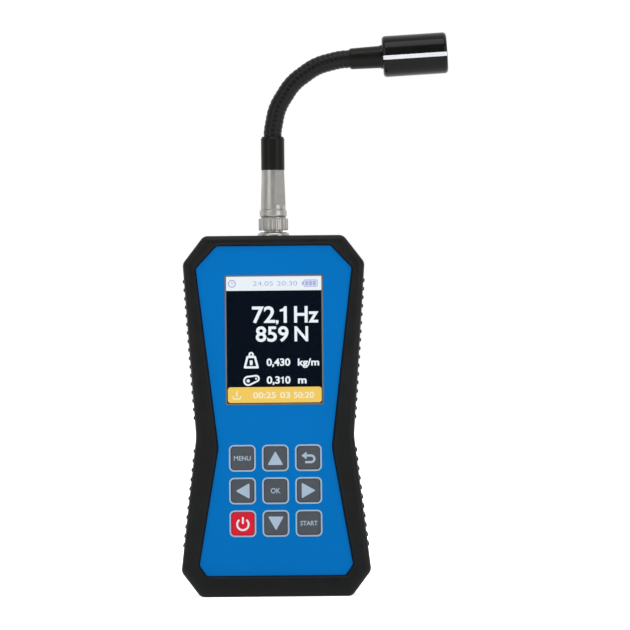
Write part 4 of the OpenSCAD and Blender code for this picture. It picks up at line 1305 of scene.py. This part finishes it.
@dataclass
class Gooseneck:
    """The wound tube: one ribbed skin, cut at the middle of each link."""

    crest_r: float = 4.15
    groove: float = 0.15
    ribs_per_link: int = 2
    rings_per_rib: int = 10
    sides: int = 40
    arc_steps: int = 8
    tucked: float = 1.5
    tail: float = 2.8
    snap: float = 0.01
    # Radii within which the skin is cut, so that a cut misses the rest of the bow
    cut_reach: float = 3.0
    stiff_end: float = 0.12
    # Stretches whose ends are listed from the head's side, because from the plug's side the axis of their
    # bend is lost in rounding at the joints' upper limits
    from_head: tuple[int, ...] = (6,)
    places: list[Vector] = field(init=False)
    ways: list[Vector] = field(init=False)
    bodies: list[str] = field(init=False)
    half: float = field(init=False)

    def __post_init__(self) -> None:
        """Take the joints' places and the links' directions from the frame."""
        joints = {j["child"]: j for j in frame["joints"]}
        links = sorted(name for name in frame["bodies"] if name.startswith("neck_link_"))
        self.bodies = ["sensor_plug", *links, "sensor_head"]
        self.places = [Vector(joints[name]["pos_m"]) for name in self.bodies[1:]]
        head = next(m for m in frame["record"]["mounts"] if m["name"] == "sensor_barrel")
        between = [(b - a).normalized() for a, b in zip(self.places, self.places[1:])]
        self.ways = [Vector((0, 0, 1)), *between, Vector(head["axis"]).normalized()]
        self.half = (self.places[1] - self.places[0]).length / 2

    def middles(self) -> list[Vector]:
        """Middle of each link, where the skin is cut."""
        first = self.places[0] - self.ways[0] * self.half
        return [first, *(p + way * self.half for p, way in zip(self.places, self.ways[1:]))]

    def path(self) -> list[Vector]:
        """Smooth line through the links' middles, with both ends tucked into the sleeves.

        Returns:
            Points in metres.
        """
        least_angle = 1e-4
        middles = self.middles()
        line = [middles[0] - self.ways[0] * self.tucked * MM]
        for i in range(len(self.places)):
            start, way, turned = middles[i], self.ways[i], self.ways[i + 1]
            angle = way.angle(turned)
            for k in range(self.arc_steps):
                s = k / self.arc_steps
                if angle < least_angle:
                    line.append(start + way * 2 * self.half * s)
                    continue
                radius = self.half / math.tan(angle / 2)
                side = (turned - way * way.dot(turned)).normalized()
                a = angle * s
                line.append(start + way * radius * math.sin(a) + side * radius * (1 - math.cos(a)))
        return [*line, middles[-1], middles[-1] + self.ways[-1] * self.tail * MM]

    def tree(self) -> bpy.types.NodeTree:
        """Geometry Nodes tree of a tube with a wound rib.

        Returns:
            The tree, with the inputs Radius, Groove, Pitch, Rings, Sides and Coat.
        """
        tree = geometry_tree(
            "wound_tube",
            {
                "Radius": "NodeSocketFloat",
                "Groove": "NodeSocketFloat",
                "Pitch": "NodeSocketFloat",
                "Rings": "NodeSocketInt",
                "Sides": "NodeSocketInt",
                "Coat": "NodeSocketMaterial",
            },
        )
        given = add_node(tree, "NodeGroupInput").outputs
        line = add_node(tree, "GeometryNodeMeshToCurve", {"Mesh": given["Geometry"]})
        even = add_node(
            tree,
            "GeometryNodeResampleCurve",
            {"Curve": line.outputs["Curve"], "Count": given["Rings"]},
        )
        length = add_node(tree, "GeometryNodeSplineParameter")
        along = add_node(tree, "GeometryNodeCaptureAttribute", {"Geometry": even.outputs["Curve"]})
        along.capture_items.new("FLOAT", "Along")
        tree.links.new(length.outputs["Length"], along.inputs["Along"])
        circle = add_node(
            tree,
            "GeometryNodeCurvePrimitiveCircle",
            {"Resolution": given["Sides"], "Radius": given["Radius"]},
        )
        share = add_node(tree, "GeometryNodeSplineParameter")
        around = add_node(tree, "GeometryNodeCaptureAttribute", {"Geometry": circle.outputs["Curve"]})
        around.capture_items.new("FLOAT", "Around")
        tree.links.new(share.outputs["Factor"], around.inputs["Around"])
        tube = add_node(
            tree,
            "GeometryNodeCurveToMesh",
            {"Curve": along.outputs["Geometry"], "Profile Curve": around.outputs["Geometry"]},
        )
        # A cosine of the turns made, less the turn round the tube, sinks the groove from the crest
        value = along.outputs["Along"]
        for step, *others in (
            ("DIVIDE", given["Pitch"]),
            ("SUBTRACT", around.outputs["Around"]),
            ("MULTIPLY", 2 * math.pi),
            ("COSINE",),
            ("MULTIPLY_ADD", 0.5, -0.5),
            ("MULTIPLY", given["Groove"]),
        ):
            sockets = dict(enumerate([value, *others]))
            value = add_node(tree, "ShaderNodeMath", sockets, operation=step).outputs[0]
        normal = add_node(tree, "GeometryNodeInputNormal")
        shift = add_node(
            tree,
            "ShaderNodeVectorMath",
            {0: normal.outputs["Normal"], "Scale": value},
            operation="SCALE",
        )
        wound = add_node(
            tree,
            "GeometryNodeSetPosition",
            {"Geometry": tube.outputs["Mesh"], "Offset": shift.outputs["Vector"]},
        )
        end_tree(tree, wound.outputs["Geometry"], given["Coat"])
        return tree

    def skin(self) -> bpy.types.Mesh:
        """Grow the whole tube.

        Returns:
            The tube's mesh, open at both ends.
        """
        path = self.path()
        length = sum((b - a).length for a, b in zip(path, path[1:]))
        pitch = 2 * self.half / self.ribs_per_link
        return grow(
            "gooseneck",
            path,
            self.tree(),
            {
                "Radius": self.crest_r * MM,
                "Groove": self.groove * MM,
                "Pitch": pitch,
                "Rings": round(length / pitch * self.rings_per_rib),
                "Sides": self.sides,
                "Coat": NECK_COAT.material(),
            },
        )

    def build(self) -> None:
        """Cut the skin at the links' middles and add each stretch."""
        whole = self.skin()
        middles = self.middles()
        tube = bmesh.new()
        tube.from_mesh(whole)
        reach = self.cut_reach * self.crest_r * MM
        for place, way in zip(middles[1:-1], self.ways[1:-1]):
            near = [f for f in tube.faces if (f.calc_center_median() - place).length < reach]
            parts = {*near, *(e for f in near for e in f.edges), *(v for f in near for v in f.verts)}
            bmesh.ops.bisect_plane(tube, geom=list(parts), plane_co=place, plane_no=way, dist=self.snap * MM)
        bmesh.ops.recalc_face_normals(tube, faces=tube.faces)
        groups: list[list[bmesh.types.BMFace]] = [[] for _ in self.places]
        for face in tube.faces:
            groups[self.stretch(face.calc_center_median(), middles)].append(face)
        tube.verts.index_update()
        tube.normal_update()
        for i, faces in enumerate(groups):
            self.add_stretch(i, faces, middles)
        tube.free()
        bpy.data.meshes.remove(whole)

    def stretch(self, point: Vector, middles: list[Vector]) -> int:
        """Number of the stretch that holds a point."""
        passed = [i for i, m in enumerate(middles[1:-1]) if (point - m).dot(self.ways[i + 1]) > 0]
        return len(passed)

    def add_stretch(self, i: int, faces: list[bmesh.types.BMFace], middles: list[Vector]) -> None:
        """Add one stretch of the skin.

        Args:
            i: Its number, from the plug.
            faces: Its faces in the whole skin.
            middles: Middles of the links.
        """
        name = f"gooseneck_skin_{i + 1:02d}"
        verts = sorted({v for f in faces for v in f.verts}, key=lambda v: v.index)
        closed = bmesh.new()
        copies = {v: closed.verts.new(v.co) for v in verts}
        for face in faces:
            closed.faces.new([copies[v] for v in face.verts]).smooth = True
        bmesh.ops.holes_fill(closed, edges=[e for e in closed.edges if e.is_boundary])
        mesh = bpy.data.meshes.new(name)
        closed.to_mesh(mesh)
        closed.free()
        # The normals of the whole tube hide the cuts
        mesh.normals_split_custom_set_from_vertices([v.normal.copy() for v in verts])
        mesh.materials.append(NECK_COAT.material())
        made = add_object(name, mesh)
        ends = [(self.bodies[i], middles[i]), (self.bodies[i + 1], middles[i + 1])]
        if i in self.from_head:
            ends.reverse()
        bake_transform(made)
        nodes = ["neck_base"] if i == 0 else []
        nodes.append("neck_end" if i == len(self.places) - 1 else self.bodies[i + 1])
        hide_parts(*nodes)
        log.info("%s: %d faces, bends from %s to %s", name, len(faces), self.bodies[i], self.bodies[i + 1])


@dataclass
class SensorHead:
    """The barrel of the sensor with its window, and a white line along its front that is a painted reflection
    of a strip light.
    """

    radius: float = 9.4
    edge_r: float = 1.6
    # Width, drop below the middle and thickness of the white line that is a painted reflection
    line_w: float = 1.9
    line_drop: float = 0.82
    line_t: float = 0.03
    bow_angle: float = 60.0
    bow_steps: int = 4
    line_steps: int = 8

    def painted_reflection_line(self) -> bpy.types.Mesh:
        """Painted reflection of a strip light: a white line along the front of the barrel, over both rounded
        edges.

        Returns:
            The line's mesh.
        """
        mount = next(m for m in frame["record"]["mounts"] if m["name"] == "sensor_barrel")
        axis, middle = Vector(mount["axis"]).normalized(), Vector(mount["pos_m"])
        reach = [(v.co - middle).dot(axis) for v in frame["nodes"]["head_shell"].data.vertices]
        middle += axis * (min(reach) + max(reach)) / 2
        front = Vector((0, -1, 0))
        up = axis.cross(front)
        if up.z < 0:
            up = -up
        bow = [math.radians(self.bow_angle * k / self.bow_steps) for k in range(self.bow_steps + 1)]
        straight = (max(reach) - min(reach)) / 2 / MM - self.edge_r
        hub = self.radius - self.edge_r
        run = [(straight + self.edge_r * math.sin(a), hub + self.edge_r * math.cos(a)) for a in bow]
        run = [(-u, r) for u, r in reversed(run)] + run
        tilt = -math.asin(self.line_drop / self.radius)
        spread = math.asin(self.line_w / 2 / self.radius)
        angles = [tilt + spread * (2 * k / self.line_steps - 1) for k in range(self.line_steps + 1)]
        rings = []
        for u, r in run:
            place = middle + axis * u * MM
            spokes = [front * math.cos(a) + up * math.sin(a) for a in angles]
            outer = [place + s * (r + self.line_t) * MM for s in spokes]
            inner = [place + s * (r - self.line_t) * MM for s in reversed(spokes)]
            rings.append([*outer, *inner])
        return loft("head_index_line", rings)

    def build(self) -> None:
        """Dress the barrel and add the painted reflection along its front."""
        dress(BARREL, "head_shell", "head_collar", "window_ring")
        dress(FILTER_ACRYLIC, "sensor_window")
        dress(DIODE_EPOXY, "sensor_diodes")
        # White line that is a painted reflection of a strip light on the glossy barrel
        add_piece("head_index_line", self.painted_reflection_line(), INK_WHITE_AND_PAINTED_REFLECTION, "sensor_head")


@dataclass
class Studio:
    """White floor, soft lights and the long lens of the photograph."""

    view_w: float = 285.7
    aim: Point = (18.6, 127.7)
    front: float = 19.0
    distance: float = 3.0
    sensor: float = 36.0
    roll: float = 0.54
    far_clip: float = 100.0
    floor: float = 14.0
    lit_spot: Corner = (0.0, 0.0, 0.13)
    # Name, place, width and height in metres, and power in watts of each soft box
    lights: tuple[tuple[str, Corner, Point, float], ...] = (
        ("soft_box_left", (-1.1, -1.3, 0.9), (0.9, 1.2), 6.8),
        ("soft_box_right", (1.2, -1.1, 0.6), (0.7, 1.2), 5.6),
        ("soft_box_top", (0.1, -0.5, 1.5), (1.4, 0.8), 9.0),
    )
    # Way along the depth and glow of the room before the part and of the wall behind it
    room: Point = (0.25, 0.28)
    wall: Point = (-0.35, 1.0)

    def add_camera(self) -> None:
        """Set up the camera straight before the front."""
        lens = bpy.data.cameras.new("long_lens")
        lens.sensor_width = self.sensor
        lens.lens = self.sensor * self.distance / (self.view_w * MM)
        lens.clip_end = self.far_clip
        camera = bpy.data.objects.new("camera", lens)
        bpy.context.scene.collection.objects.link(camera)
        place = Matrix.Translation((self.aim[0] * MM, -self.distance - self.front * MM, self.aim[1] * MM))
        level = Matrix.Rotation(math.radians(90), 4, "X")
        camera.matrix_world = place @ level @ Matrix.Rotation(math.radians(-self.roll), 4, "Z")
        bpy.context.scene.camera = camera

    def add_floor(self) -> None:
        """Lay the white floor under the part."""
        bm = bmesh.new()
        bmesh.ops.create_grid(bm, x_segments=2, y_segments=2, size=self.floor / 2)
        floor = add_object("floor", to_mesh(bm, "floor"))
        floor.data.materials.append(STAGE_PAPER.material())

    def add_light(self, name: str, place: Vector, size: Point, power: float) -> None:
        """Add a soft box that faces the part.

        Args:
            name: Name of the light.
            place: Its middle, in metres.
            size: Its width and height, in metres.
            power: Its power in watts.
        """
        light = bpy.data.lights.new(name, "AREA")
        light.shape = "RECTANGLE"
        light.size, light.size_y = size
        light.energy = power
        made = bpy.data.objects.new(name, light)
        bpy.context.scene.collection.objects.link(made)
        facing = (Vector(self.lit_spot) - place).to_track_quat("-Z", "Y").to_matrix().to_4x4()
        made.matrix_world = Matrix.Translation(place) @ facing

    def add_world(self) -> None:
        """Give the room a soft grey glow, with a white wall behind the part."""
        world = bpy.data.worlds.new("studio")
        world.use_nodes = True
        tree = world.node_tree
        tree.nodes.clear()
        seen = add_node(tree, "ShaderNodeLightPath").outputs["Is Camera Ray"]
        facing = add_node(tree, "ShaderNodeNewGeometry").outputs["Incoming"]
        split = add_node(tree, "ShaderNodeSeparateXYZ", {0: facing})
        (start, dim), (end, bright) = self.room, self.wall
        wall = add_node(
            tree,
            "ShaderNodeMapRange",
            {
                "Value": split.outputs["Y"],
                "From Min": start,
                "From Max": end,
                "To Min": dim,
                "To Max": bright,
            },
        ).outputs["Result"]
        glow = add_node(tree, "ShaderNodeBackground", {"Color": linear("#ffffff"), "Strength": wall})
        white = add_node(tree, "ShaderNodeBackground", {"Color": linear("#ffffff"), "Strength": 1.0})
        both = add_node(tree, "ShaderNodeMixShader", {0: seen, 1: glow.outputs[0], 2: white.outputs[0]})
        add_node(tree, "ShaderNodeOutputWorld", {"Surface": both.outputs[0]})
        bpy.context.scene.world = world

    def build(self) -> None:
        """Set the stage, with colours shown as they are."""
        bpy.context.scene.view_settings.view_transform = "Standard"
        self.add_camera()
        self.add_floor()
        self.add_world()
        for name, place, size, power in self.lights:
            self.add_light(name, Vector(place), size, power)
        log.info("stage: floor, %d soft boxes and camera", len(self.lights))


def main() -> None:
    """Build the sub-assemblies in order, then the stage."""
    logging.basicConfig(level=logging.INFO, format="%(name)s: %(message)s")
    for part in (RubberBoot(), Case(), Display(), KeyPad(), Connector(), Gooseneck(), SensorHead(), Studio()):
        part.build()
        log.info("%s built", type(part).__name__)


if __name__ == "__main__":
    main()
